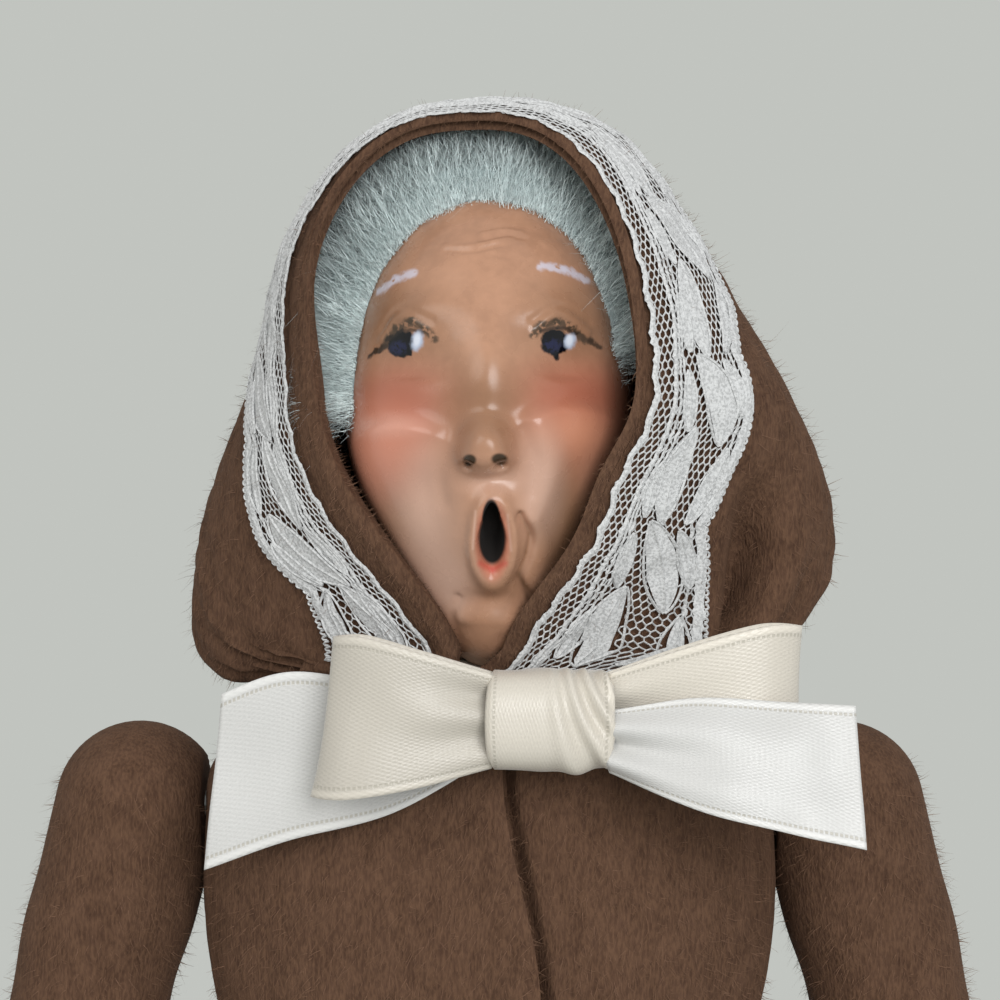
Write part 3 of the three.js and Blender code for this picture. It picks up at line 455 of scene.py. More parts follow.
def blend_colours(tree, share, a, b):
    """A blend of two colours, each a plain colour or another node's output."""
    a, b = (v if isinstance(v, bpy.types.NodeSocket) else rgba(v) for v in (a, b))
    return add_node(tree, "ShaderNodeMix", {0: share, 6: a, 7: b}, data_type="RGBA").outputs[2]


def compute(tree, operation, *values):
    inputs = dict(enumerate(values))
    return add_node(tree, "ShaderNodeMath", inputs, operation=operation).outputs[0]


def times(tree, a, b):
    return compute(tree, "MULTIPLY", a, b)


def vector(tree, operation, *values):
    outputs = add_node(tree, "ShaderNodeVectorMath", dict(enumerate(values)), operation=operation).outputs
    return outputs["Value" if operation in ("DOT_PRODUCT", "LENGTH") else 0]


def between(tree, value, low, high, start=0.0, end=1.0):
    """A smooth step of a value from low to high."""
    inputs = {"Value": value, "From Min": low, "From Max": high, "To Min": start, "To Max": end}
    return add_node(tree, "ShaderNodeMapRange", inputs, interpolation_type="SMOOTHSTEP").outputs[0]


def edge_mask(tree, far, reach, softness):
    """1 inside a distance and 0 outside it, with a soft edge."""
    low = compute(tree, "SUBTRACT", reach, softness)
    high = compute(tree, "ADD", reach, softness)
    return between(tree, far, low, high, 1.0, 0.0)


def noise(tree, place, scale, detail, stretch=None):
    """A noise value over a place in metres. Stretch scales the place first."""
    if stretch:
        place = add_node(tree, "ShaderNodeMapping", {"Vector": place, "Scale": stretch}).outputs[0]
    inputs = {"Vector": place, "Scale": scale, "Detail": detail}
    return add_node(tree, "ShaderNodeTexNoise", inputs).outputs[0]


def bump(tree, height, strength, depth):
    inputs = {"Height": height, "Strength": strength, "Distance": depth * MM}
    return add_node(tree, "ShaderNodeBump", inputs).outputs[0]


def feed(tree, node, **sockets):
    """Links values to a node's inputs, named with an underscore for each space."""
    for key, value in sockets.items():
        tree.links.new(value, node.inputs[key.replace("_", " ")])


def object_place(tree):
    return add_node(tree, "ShaderNodeTexCoord").outputs["Object"]


def new_group(name, inputs, outputs):
    """An empty node group. Inputs map names to defaults, None for a vector. Outputs are names of values."""
    tree = bpy.data.node_groups.new(name, "ShaderNodeTree")
    for label, default in inputs.items():
        kind = "NodeSocketVector" if default is None else "NodeSocketFloat"
        socket = tree.interface.new_socket(label, in_out="INPUT", socket_type=kind)
        if default is not None:
            socket.default_value = default
    for label in outputs:
        tree.interface.new_socket(label, in_out="OUTPUT", socket_type="NodeSocketFloat")
    return tree, add_node(tree, "NodeGroupInput").outputs, add_node(tree, "NodeGroupOutput")


def use_group(tree, name, build, inputs):
    """A node of a group, which is built the first time."""
    group = bpy.data.node_groups.get(name) or build(name)
    return add_node(tree, "ShaderNodeGroup", inputs, node_tree=group).outputs


def build_spot(name):
    """A painted oval on the front of the head."""
    tree, given, out = new_group(name, {"Place": None, "Middle": None, "Half Width": 0.001,
                                        "Half Height": 0.001, "Tilt": 0.0, "Softness": 0.2}, ["Mask"])
    offset = vector(tree, "SUBTRACT", given["Place"], given["Middle"])
    turned = add_node(tree, "ShaderNodeVectorRotate", {"Vector": offset, "Angle": given["Tilt"]},
                      rotation_type="Y_AXIS").outputs[0]
    parts = add_node(tree, "ShaderNodeSeparateXYZ", {0: turned}).outputs
    u = compute(tree, "DIVIDE", parts["X"], given["Half Width"])
    v = compute(tree, "DIVIDE", parts["Z"], given["Half Height"])
    far = compute(tree, "SQRT", compute(tree, "ADD", times(tree, u, u), times(tree, v, v)))
    feed(tree, out, Mask=edge_mask(tree, far, 1.0, given["Softness"]))
    return tree


def build_stroke(name):
    """A painted brush stroke on the front of the head, from one point to another."""
    tree, given, out = new_group(name, {"Place": None, "Start": None, "End": None, "Half Width": 0.0003,
                                        "Softness": 0.0002}, ["Mask"])
    flat = vector(tree, "MULTIPLY", given["Place"], (1.0, 0.0, 1.0))
    reach = vector(tree, "SUBTRACT", flat, given["Start"])
    whole = vector(tree, "SUBTRACT", given["End"], given["Start"])
    share = compute(tree, "DIVIDE", vector(tree, "DOT_PRODUCT", reach, whole),
                    vector(tree, "DOT_PRODUCT", whole, whole))
    share = add_node(tree, "ShaderNodeClamp", {"Value": share}).outputs[0]
    foot = add_node(tree, "ShaderNodeVectorMath", {0: whole, "Scale": share}, operation="SCALE").outputs[0]
    far = vector(tree, "LENGTH", vector(tree, "SUBTRACT", reach, foot))
    feed(tree, out, Mask=edge_mask(tree, far, given["Half Width"], given["Softness"]))
    return tree


def build_nap(name):
    """Brushed cloth: streaks along the nap, larger clumps and a height."""
    tree, given, out = new_group(name, {"Place": None, "Fineness": 1600.0}, ["Streaks", "Clumps", "Height"])
    streaks = noise(tree, given["Place"], given["Fineness"], 4.0, (1.0, 1.0, 0.3))
    coarse = times(tree, given["Fineness"], 0.14)
    clumps = noise(tree, given["Place"], coarse, 4.0, (1.0, 1.0, 0.6))
    feed(tree, out, Streaks=between(tree, streaks, 0.3, 0.7), Clumps=between(tree, clumps, 0.3, 0.7),
         Height=compute(tree, "ADD", streaks, times(tree, clumps, 1.2)))
    return tree


def build_mottle(name):
    """Uneven paint or stain: broad patches, fine specks and a height."""
    tree, given, out = new_group(name, {"Place": None, "Fineness": 900.0}, ["Patches", "Specks", "Height"])
    patches = noise(tree, given["Place"], times(tree, given["Fineness"], 0.2), 4.0)
    specks = noise(tree, given["Place"], given["Fineness"], 3.0)
    feed(tree, out, Patches=between(tree, patches, 0.32, 0.68), Specks=between(tree, specks, 0.35, 0.7),
         Height=compute(tree, "ADD", patches, times(tree, specks, 0.3)))
    return tree


def new_material(name, **sockets):
    """A material with its shader's plain values set. Returns the material, its tree and the shader."""
    material = bpy.data.materials.new(name)
    material.use_nodes = True
    tree = material.node_tree
    shader = tree.nodes["Principled BSDF"]
    for key, value in sockets.items():
        shader.inputs[key.replace("_", " ")].default_value = value
    return material, tree, shader


def shared_material(name, build):
    """A material that several pieces share, built the first time."""
    return bpy.data.materials.get(name) or build(name)


def napped(name, body, dark, tips, fineness, depth):
    """A brushed or felted cloth."""
    material, tree, shader = new_material(name, Roughness=0.92, Sheen_Weight=0.25, Sheen_Roughness=0.5,
                                          Specular_IOR_Level=0.2, Sheen_Tint=rgba(tips))
    nap = use_group(tree, "brushed nap", build_nap, {"Place": object_place(tree), "Fineness": fineness})
    shade = blend_colours(tree, nap["Streaks"], dark, body)
    lighter = times(tree, nap["Clumps"], 0.25)
    shade = blend_colours(tree, lighter, shade, tips)
    feed(tree, shader, Base_Color=shade, Normal=bump(tree, nap["Height"], 0.8, depth))
    return material


def brown_felt(name):
    felt = settings().felt
    return napped(name, felt.shade, felt.dark, felt.tips, 3400.0, 0.35)


def felt_fibre(name):
    felt = settings().felt
    material, tree, shader = new_material(name, Roughness=0.8, Specular_IOR_Level=0.25)
    share = between(tree, noise(tree, object_place(tree), 900.0, 2.0), 0.35, 0.65)
    feed(tree, shader, Base_Color=blend_colours(tree, share, felt.shade, felt.tips))
    return material


def add_nap(name, grids, count, seed, reach, body, outward=1.0, bare=None):
    """The loose fibres of a felt piece as one object."""
    parts = [nap_fibres(grid, count, seed + i, reach, outward, bare) for i, grid in enumerate(grids)]
    points, faces = joined(parts)
    return add_piece(name, points, faces, shared_material("felt fibre", felt_fibre), body)


# Head

CHIN = np.array([0.3, -8.0, -25.0])
MOUTH_CREASE = [(3.2, -10.6), (4.3, -13.0), (4.0, -15.0), (3.2, -17.6), (5.2, -20.3)]

# Rows of x, z, height, width and tallness, from the middle of the head.
FACE_BUMPS = [
    (0.0, 3.6, 1.7, 3.2, 5.0),
    (-8.0, 10.8, 1.0, 4.6, 2.2), (8.0, 10.8, 1.0, 4.6, 2.2),
    (-8.5, 6.6, -1.7, 3.8, 2.6), (8.5, 6.6, -1.7, 3.8, 2.6),
    (0.0, -13.8, 2.6, 4.6, 6.2), (0.3, -22.6, 2.6, 4.2, 2.8),
    (-2.3, -4.7, 0.55, 1.1, 1.0), (1.9, -4.6, 0.55, 1.1, 1.0), (0.0, -7.0, -0.6, 2.4, 1.1),
    (-8.6, 7.4, 0.9, 2.5, 1.6), (8.2, 7.5, 0.9, 2.5, 1.6),
    (-8.8, 4.2, -0.35, 3.2, 0.7), (8.6, 4.2, -0.35, 3.2, 0.7),
    (-6.6, -8.2, -0.6, 2.2, 3.0), (8.2, -10.0, -0.5, 1.6, 3.0),
    (0.2, -19.2, -0.85, 3.0, 1.0), (-2.8, -20.4, 0.35, 0.8, 0.7), (0.9, -21.0, 0.45, 2.6, 0.8),
    (-2.0, -5.3, -1.5, 0.55, 0.5), (1.15, -5.2, -1.5, 0.65, 0.5),
]
# Rows of a path, its height and its width.
FACE_CREASES = [
    ([(-4.9, 18.3), (-1.8, 18.2), (1.3, 18.9), (2.4, 19.3)], 0.20, 0.24),
    ([(-4.7, 17.7), (-1.7, 17.6), (1.4, 18.3)], -0.22, 0.26),
    ([(-0.9, 19.5), (1.6, 20.0), (3.7, 19.8)], 0.22, 0.24),
    ([(-0.8, 18.9), (1.6, 19.4), (3.8, 19.2)], -0.22, 0.26),
    ([(6.2, 18.5), (7.8, 18.9)], 0.26, 0.30),
    ([(0.2, 17.2), (2.0, 16.8)], -0.14, 0.25),
    ([(-4.3, -2.6), (-5.0, -6.4), (-4.6, -9.4)], -0.24, 0.9),
    ([(3.6, -2.0), (4.6, -5.2), (4.2, -8.4)], -0.26, 0.95),
    ([(5.0, -1.4), (6.4, -4.6), (6.1, -7.9), (4.8, -10.6)], 0.42, 1.45),
    (MOUTH_CREASE, -1.0, 0.46),
    ([(4.8, -11.0), (5.9, -14.0), (5.0, -17.2), (6.6, -19.6)], 0.44, 0.95),
    ([(-3.2, -19.2), (-3.7, -20.8), (-2.9, -22.4)], -0.6, 0.38),
    ([(-3.0, -20.6), (0.6, -20.3), (4.4, -20.9)], 0.5, 0.5),
    ([(1.1, -21.7), (0.5, -25.0)], -0.30, 0.35),
    ([(-11.8, 8.2), (-9.6, 10.0), (-6.4, 8.8)], 0.34, 0.45),
    ([(5.0, 8.8), (7.4, 10.2), (10.8, 8.8)], 0.34, 0.45),
    ([(-11.6, 9.4), (-9.4, 11.1), (-6.0, 9.8)], -0.20, 0.36),
    ([(4.6, 9.8), (7.3, 11.3), (10.8, 9.9)], -0.20, 0.36),
]


def mouth_reach(x, z):
    """0 in the middle of the open mouth and 1 at its edge. The mouth is narrower at its top."""
    up = (z - MOUTH_MIDDLE[1]) / MOUTH_HALF[1]
    half = MOUTH_HALF[0] * (1 - 0.38 * np.clip(up, 0, 1))
    return np.hypot((x - MOUTH_MIDDLE[0]) / half, up)


def face_relief(x, z):
    """Height of the face over the plain egg of the head, in millimetres."""
    relief = np.zeros(x.shape)
    for bump_x, bump_z, height, width, tallness in FACE_BUMPS:
        relief += height * hump(x, width, bump_x) * hump(z, tallness, bump_z)
    for path, height, width in FACE_CREASES:
        relief += height * hump(near_path(x, z, spline(path, 6 * len(path))), width)
    relief += 3.9 * np.exp(-np.hypot((x + 0.3) / 2.45, (z + 3.5) / 2.65) ** 3)
    for middle_x, middle_z, drop in ((-9.6, -1.8, 0.050), (8.6, -0.2, 0.045)):
        dz = z - middle_z + drop * (x - middle_x) ** 2
        fall = np.where(dz > 0, 1.4, 6.6)
        relief += 1.45 * np.exp(-(np.abs((x - middle_x) / 6.0) ** 3 + (dz / fall) ** 2))
    lips = np.hypot((x - 0.45) / 2.15, (z + 12.9) / 4.4)
    relief += 0.85 * hump(lips, 0.24, 1)
    relief -= 6.0 * (1 - smooth(mouth_reach(x, z), 0.55, 1.12))
    return relief


def egg_radius(d):
    narrow = np.where(d[..., 2] < 0, 1 - 0.24 * d[..., 2] ** 2, 1)
    scaled = d / np.array(HEAD_HALF)
    square = (scaled[..., 0] / narrow) ** 2 + scaled[..., 1] ** 2 + scaled[..., 2] ** 2
    return 1 / np.sqrt(square)


def head_radius(d):
    egg = egg_radius(d)
    front = smooth(-d[..., 1], 0.05, 0.45)
    raised = face_relief(d[..., 0] * egg, d[..., 2] * egg)
    chin = 2.7 * np.exp((d @ unit(CHIN) - 1) / 0.035)
    return egg + front * raised * np.maximum(-d[..., 1], 0.3) + chin


def head_direction(from_front, from_crown):
    across = np.sin(from_front)
    return stacked(across * np.sin(from_crown), -np.cos(from_front), across * np.cos(from_crown))


def face_place(x, z):
    """A point of the painted face in metres, from millimetres across and up from the head's middle."""
    return (x * MM, 0.0, (HEAD_MIDDLE[2] + z) * MM)


# Painted light: a lighter skin where light falls on the lower cheeks and jaw.
PAINTED_LIGHT_SKIN = (0.66, 0.43, 0.33)
# Painted highlight: a pale skin for the highlights beside the lips, under the nose and on the fold beside it.
PAINTED_HIGHLIGHT_SKIN = (0.60, 0.39, 0.30)
LIP_RED = (0.52, 0.07, 0.05)
NOSTRIL = (0.040, 0.022, 0.010)
LID = (0.016, 0.012, 0.010)

# Rows of x, z, half width, half height, softness, tint and strength, in the order of painting. A tint
# that is a word is one of the face's settings. Beside the blush, the red inside the lips and the nostrils,
# the rows paint light and shade into the skin: lighter skin where light falls on the figure's right lower
# cheek and jaw, a lighter blush on each outer cheek against the shade of the face's curve and the hood, a
# painted highlight along the figure's right cheek, under the nose and on the fold beside it, and painted
# shade round the eyes, at the temple, on and beside the nose, below the lips, at the chin and on the
# figure's left cheek where the hood's rim shades it.
FACE_SPOTS = [
    (-8.8, -5.4, 4.8, 4.4, 0.9, PAINTED_LIGHT_SKIN, 0.8),
    (-10.2, 1.2, 5.8, 3.6, 0.95, "blush", 0.82), (-10.2, -3.0, 5.6, 5.8, 0.95, "blush", 0.50),
    (9.8, 1.7, 5.8, 3.6, 0.95, "blush", 0.82), (9.8, -2.5, 5.6, 5.8, 0.95, "blush", 0.50),
    (-12.6, -3.8, 4.0, 4.6, 0.9, (0.74, 0.29, 0.19), 0.75),
    (-11.4, -1.4, 4.2, 1.1, 0.9, (0.80, 0.48, 0.38), 0.36),
    (9.4, -1.8, 3.4, 2.2, 0.9, (0.62, 0.27, 0.16), 0.6),
    (-9.4, 9.8, 4.8, 3.6, 0.85, "shadow", 0.56), (8.8, 9.8, 4.8, 3.6, 0.85, "shadow", 0.56),
    (-13.6, 12.0, 3.6, 6.0, 0.8, "shadow", 0.3), (0.0, 0.9, 3.4, 3.6, 0.9, "shadow", 0.66),
    (0.0, -3.4, 2.8, 2.2, 0.8, "shadow", 0.2), (0.4, -23.0, 4.4, 3.0, 0.8, "shadow", 0.2),
    (0.3, -7.4, 2.6, 1.3, 0.8, PAINTED_HIGHLIGHT_SKIN, 0.5), (0.4, -18.6, 4.6, 1.4, 0.7, "shadow", 0.3),
    (7.8, -12.4, 2.4, 4.8, 0.8, "shadow", 0.9), (5.6, -7.6, 2.2, 5.2, 0.8, PAINTED_HIGHLIGHT_SKIN, 0.7),
    (-6.6, -13.4, 3.3, 6.4, 0.85, PAINTED_LIGHT_SKIN, 0.78), (-4.4, -18.6, 2.6, 3.0, 0.85, PAINTED_LIGHT_SKIN, 0.7),
    (-3.9, -4.6, 2.0, 7.6, 0.85, "shadow", 0.4), (0.4, -13.8, 1.85, 4.2, 0.2, (0.58, 0.17, 0.11), 0.5),
    (-2.0, -5.2, 0.70, 0.58, 0.3, NOSTRIL, 1.0), (1.15, -5.1, 0.84, 0.58, 0.3, NOSTRIL, 1.0),
]
# Rows of points, half width, softness, tint and strength: round the mouth, in the eyes, on the lids and
# at the eyes' outer corners. Round the mouth they paint the red lower lip, a painted highlight down each
# side of the lips and a painted shade in the crease from the mouth's corner to the chin.
MOUTH_LINES = [
    ([(-0.9, -16.2), (0.4, -16.9), (1.7, -16.2)], 0.28, 0.35, LIP_RED, 0.6),
    ([(-1.4, -10.6), (-1.7, -14.6)], 0.10, 0.2, PAINTED_HIGHLIGHT_SKIN, 0.7),
    ([(2.0, -11.0), (2.4, -14.8)], 0.10, 0.2, PAINTED_HIGHLIGHT_SKIN, 0.6),
    (MOUTH_CREASE, 0.16, 0.26, "shadow", 0.5),
    ([(3.3, -17.4), (4.3, -20.2)], 0.20, 0.5, (0.10, 0.05, 0.028), 0.75),
]
EYE_LINES = [
    ([(7.1, 7.2), (7.35, 6.0)], 0.34, 0.14, "eye", 1.0),
    ([(-10.6, 6.9), (-8.6, 6.5)], 0.34, 0.14, "eye", 1.0),
]
LID_LINES = [
    ([(-11.1, 8.1), (-9.4, 9.0)], 0.20, 0.14, LID, 0.85), ([(-9.4, 9.0), (-7.2, 8.7)], 0.20, 0.14, LID, 0.7),
    ([(5.6, 8.7), (7.4, 9.2), (9.6, 8.6)], 0.20, 0.14, LID, 0.8),
]
CORNER_LINES = [
    ([(-13.2, 6.3), (-12.3, 6.9)], 0.20, 0.16, (0.040, 0.022, 0.014), 1.0),
    ([(-12.3, 6.9), (-11.2, 7.5)], 0.34, 0.16, (0.046, 0.028, 0.018), 1.0),
    ([(9.9, 8.2), (11.0, 7.9)], 0.40, 0.2, (0.090, 0.060, 0.042), 0.9),
    ([(11.0, 7.9), (12.1, 7.3)], 0.22, 0.16, (0.060, 0.038, 0.026), 0.9),
]
LASHES = [
    [(-11.2, 8.0), (-10.0, 9.2), (-8.4, 9.9), (-6.9, 9.1), (-5.9, 7.9)],
    [(4.6, 8.2), (5.7, 9.3), (7.3, 9.8), (9.0, 9.2), (10.4, 8.0)],
]
BROWS = [[(-12.1, 13.7), (-10.3, 14.8), (-8.2, 15.4)], [(5.7, 16.0), (8.2, 15.8), (10.6, 14.8)]]


def painted_face(name):
    """Satin painted skin with blush, eyes, brows and a dark open mouth."""
    face = settings().face
    material, tree, shader = new_material(name, Roughness=0.26, Specular_IOR_Level=0.46)
    place = object_place(tree)
    mottle = use_group(tree, "mottling", build_mottle, {"Place": place, "Fineness": 1100.0})
    shade = blend_colours(tree, mottle["Patches"], tinted(face.skin, 0.86), face.skin)
    shade = blend_colours(tree, times(tree, mottle["Specks"], 0.22), shade, tinted(face.skin, 1.22))

    shake = add_node(tree, "ShaderNodeTexNoise", {"Vector": place, "Scale": 1100.0, "Detail": 2.0})
    shake = vector(tree, "SUBTRACT", shake.outputs["Color"], (0.5, 0.5, 0.5))
    shaky = vector(tree, "MULTIPLY_ADD", shake, (0.0008, 0.0, 0.0008), place)

    def spot(x, z, half_width, half_height, softness, tilt=0.0, path=place):
        return use_group(tree, "painted spot", build_spot, {
            "Place": path, "Middle": face_place(x, z), "Half Width": half_width * MM,
            "Half Height": half_height * MM, "Tilt": math.radians(tilt), "Softness": softness})["Mask"]

    def paint(mask, tint, strength=1.0):
        nonlocal shade
        share = times(tree, mask, strength) if strength != 1.0 else mask
        shade = blend_colours(tree, share, shade, getattr(face, tint) if isinstance(tint, str) else tint)

    def draw(points, half_width, softness, tint, strength, path=shaky, within=None):
        """Paints strokes through points. Within is a mask that breaks them up."""
        for start, end in zip(points[:-1], points[1:]):
            mask = use_group(tree, "painted stroke", build_stroke, {
                "Place": path, "Start": face_place(*start), "End": face_place(*end),
                "Half Width": half_width * MM, "Softness": softness * MM})["Mask"]
            paint(mask if within is None else times(tree, mask, within), tint, strength)

    for *oval_spot, tint, strength in FACE_SPOTS:
        paint(spot(*oval_spot), tint, strength)
    for line in MOUTH_LINES:
        draw(*line, path=place)
    mouth = compute(tree, "MAXIMUM", spot(0.36, -13.55, 1.42, 2.75, 0.12), spot(0.25, -11.7, 0.96, 2.4, 0.12))
    paint(mouth, (0.007, 0.005, 0.004))

    dry = between(tree, noise(tree, place, 1700.0, 3.0), 0.36, 0.52)
    for points in LASHES:
        draw(points, 0.40, 0.26, (0.055, 0.038, 0.024), 0.85, within=dry)
    eyes = 0.0
    for x, z in ((-9.45, 7.5), (7.1, 7.55)):
        iris = spot(x, z, 1.55, 1.42, 0.12, 14, shaky)
        paint(iris, "eye")
        eyes = compute(tree, "MAXIMUM", iris, eyes)
    for line in EYE_LINES:
        draw(*line)
    for x, z in ((-9.8, 7.1), (6.8, 7.2)):
        paint(times(tree, spot(x, z, 1.0, 0.7, 0.5), dry), (0.016, 0.020, 0.070), 0.7)
    for line in LID_LINES:
        draw(*line)
    for x, z, half_width, half_height in ((-7.65, 7.75, 0.62, 1.02), (8.80, 7.75, 0.62, 0.86)):
        paint(spot(x, z, half_width, half_height, 0.4, -10, shaky), (0.42, 0.48, 0.60))
        paint(spot(x - 0.1, z + 0.1, 0.6 * half_width, 0.7 * half_height, 0.5, -10), (0.72, 0.76, 0.84), 0.8)
    for line in CORNER_LINES:
        draw(*line)
    brush = between(tree, noise(tree, place, 1400.0, 3.0, (0.35, 1.0, 1.0)), 0.30, 0.46)
    for points in BROWS:
        draw(points, 0.42, 0.3, "brow", 0.85, within=brush)
    rough = between(tree, mottle["Patches"], 0.0, 1.0, 0.21, 0.32)
    rough = compute(tree, "MAXIMUM", rough, times(tree, mouth, 0.95))
    rough = times(tree, rough, between(tree, eyes, 0.0, 1.0, 1.0, 0.3))
    feed(tree, shader, Base_Color=shade, Roughness=rough, Normal=bump(tree, mottle["Height"], 0.25, 0.12))
    return material


class CAROLER_OT_face(bpy.types.Operator):
    """Models the singing face and paints it."""
    bl_idname = "caroler.face"
    bl_label = "Face"

    def execute(self, context):
        rings = np.radians(np.concatenate([np.linspace(0.4, 100, 240), np.linspace(102, 179.5, 24)]))
        sectors = 376
        around = np.linspace(0, 2 * math.pi, sectors, endpoint=False)
        d = head_direction(rings[:, None], around[None])
        points = HEAD_MIDDLE + d * head_radius(d)[..., None]
        faces = grid_faces(len(rings), sectors, round_columns=True).tolist()
        count = len(rings) * sectors
        faces.append(list(range(sectors))[::-1])
        faces.append(list(range(count - sectors, count)))
        add_piece("face", points, faces, painted_face("painted face"), "head", ["head"])
        return {"FINISHED"}


# Hair

HAIR_ENDS = (-88, 66)
# Turns from the crown in degrees and, at each, the angle from the front at which the hair begins.
HAIRLINE = ([-95, -71, -59, -36, 0, 26, 36, 47, 60, 80], [62, 64, 67.5, 72, 69, 70.5, 67.5, 63.5, 60.5, 60])
# Turns from the crown in radians and, at each, the room under the hood in millimetres, and then how far
# forward the hood's rim comes.
HAIR_ROOM = ([-1.2, -0.9, -0.6, -0.3, 0.0, 0.3, 0.9, 1.2], [6.8, 8.2, 8.9, 7.8, 6.6, 7.6, 8.6, 9.6])
HAIR_RIM = ([-0.3, 0.1, 0.9], [0.33, 0.42, 0.5])


def hairline(turn):
    """Angle from the front of the face at which the hair begins, for a turn from the crown."""
    return np.radians(np.interp(np.degrees(turn), *HAIRLINE))


def grey_mohair(name):
    """Soft pale fibre, lighter and darker from strand to strand."""
    hair = settings().hair
    material, tree, shader = new_material(name, Roughness=0.62, Specular_IOR_Level=0.3, Sheen_Weight=0.3)
    place = object_place(tree)
    strands = between(tree, noise(tree, place, 1400.0, 2.0), 0.32, 0.68)
    locks = between(tree, noise(tree, place, 260.0, 3.0), 0.3, 0.7)
    pale = tinted(hair.shade, 1.35)
    shade = blend_colours(tree, strands, hair.shade, pale)
    shade = blend_colours(tree, times(tree, locks, 0.25), shade, hair.dark)
    feed(tree, shader, Base_Color=shade)
    return material


def mohair_backing(name):
    """The felted base of the wig, seen deep between the fibres. Its darker tone is a painted shade of that
    depth.
    """
    hair = settings().hair
    return napped(name, hair.dark, tinted(hair.dark, 0.6), hair.shade, 1200.0, 0.6)


def wig_fibres(hair):
    """Points and faces of the loose fibres, which sweep back and stay inside the hood."""
    rng = np.random.default_rng(11)
    count = hair.strands
    turn = np.radians(rng.uniform(*HAIR_ENDS, count) + 6 * rng.normal(0, 1, count))
    past = np.radians(rng.uniform(-3.5, 44, count) * rng.random(count) ** 0.7)
    from_front = hairline(turn) + past + np.radians(1.6) * ripple(turn * 14, turn * 3, 12)
    d = head_direction(from_front, turn)
    backward = unit(head_direction(from_front + 0.02, turn) - head_direction(from_front - 0.02, turn))
    aside = 4.2 * smooth(-turn, 0.05, 0.6) + 4.4 * smooth(turn, 0.15, 0.5)
    aside = aside * smooth(past, 0.0, mix(0.26, 0.08, smooth(turn, 0, 0.4)))
    crown = smooth(past, 0.0, 0.13) * hump(turn, 0.75, 0.05)
    full = 3.1 + aside * (1 - smooth(past, 0.4, 0.6)) + 3.6 * crown
    steep = np.maximum(smooth(turn, 0.25, 0.6), 0.7 * smooth(-turn, 0.2, 0.6))
    lift = rng.random(count) ** 0.75 * full * smooth(past + 0.03, 0, mix(0.19, 0.09, steep))
    roots = HEAD_MIDDLE + d * (egg_radius(d) + 0.2 + lift)[:, None]
    loose = rng.normal(0, 1, (count, 3))
    outward = mix(0.75, 0.25, smooth(past, 0, 0.5))[:, None]
    along = unit(outward * d + 0.55 * backward + 0.55 * loose)
    forward = -(along * backward).sum(axis=1, keepdims=True)
    along = unit(along + backward * np.maximum(forward - 0.05, 0))
    bend = 0.35 * backward - 0.22 * d + 0.36 * loose[:, [2, 0, 1]]
    sides = np.maximum(smooth(-turn, 1.4, 1.65), smooth(turn, 1.0, 1.25))
    lengths = hair.strand / MM * rng.uniform(0.5, 1.3, count) * (1 - 0.65 * sides)
    lengths = lengths * mix(0.4, 1.0, smooth(past, -0.05, 0.1))
    points, faces = blades(roots, along, bend, lengths, rng.uniform(0.035, 0.075, count), d)
    from_middle = points - HEAD_MIDDLE
    far = np.linalg.norm(from_middle, axis=1)
    d = from_middle / far[:, None]
    around = np.arctan2(d[:, 0], d[:, 2])
    room = np.interp(around, *HAIR_ROOM)
    rim = np.interp(around, *HAIR_RIM)
    ahead = smooth(-d[:, 1] - rim, 0.0, 0.1)
    room = egg_radius(d) + mix(room, 10.5, ahead)
    points = HEAD_MIDDLE + d * np.minimum(far, room)[:, None]
    return points, faces


class CAROLER_OT_hair(bpy.types.Operator):
    """Makes the wig as a backing and loose fibres that sweep back under the hood."""
    bl_idname = "caroler.hair"
    bl_label = "Hair"

    def execute(self, context):
        turn = np.radians(np.linspace(*HAIR_ENDS, 150))[None]
        share = np.linspace(0, 1, 60)[:, None]
        from_front = mix(hairline(turn), math.radians(150), share)
        d = head_direction(from_front, turn)
        lift = 0.3 + 2.4 * smooth(share, 0, 0.1) + 0.3 * ripple(turn * 9, share * 30, 4)
        grid = HEAD_MIDDLE + d * (egg_radius(d) + lift)[..., None]
        backing = add_piece("wig_backing", grid, grid_faces(*grid.shape[:2]),
                            mohair_backing("mohair backing"), "head", ["wig"])
        thicken(backing, 0.5)

        points, faces = wig_fibres(settings().hair)
        add_piece("wig_fibres", points, faces, grey_mohair("grey mohair"), "head")
        return {"FINISHED"}


# Hood

# Sides of the hood and, at each, the depth in millimetres of its turned-in rim.
RIM_DEPTH = ([-1, -0.85, -0.65, -0.45, -0.25, 0, 0.25, 0.45, 0.65, 0.85, 1],
             [1.2, 3.6, 3.8, 2.4, 0.5, 0.12, 0.12, 0.3, 1.2, 1.8, 1.0])


def hood_relief(back, side):
    """Soft folds of the hood, in millimetres: gathers at the neck, slack at the jowls, an uneven surface."""
    low = smooth(np.abs(side), 0.45, 1.0)
    gathers = 0.55 * np.cos(2 * math.pi * 8.5 * back + 3 * side) * low ** 1.5 * smooth(back, 0.14, 0.35)
    slack = 0.9 * ripple(back * 9, side * 9, 21) * smooth(back, 0.1, 0.4)
    fine = 0.16 * ripple(back * 60, side * 50, 22, waves=9)
    along = back - 1.1 * (np.minimum(side, 0.86) - 0.72)
    tuck = 1.3 * hump(along, 0.06, 0.49) - 6.2 * hump(along, 0.036, 0.365)
    fold = smooth(side, 0.56, 0.68) * smooth(0.97 - side, 0, 0.1) * tuck
    return gathers + slack + fold + fine * smooth(back, 0.0, 0.08)


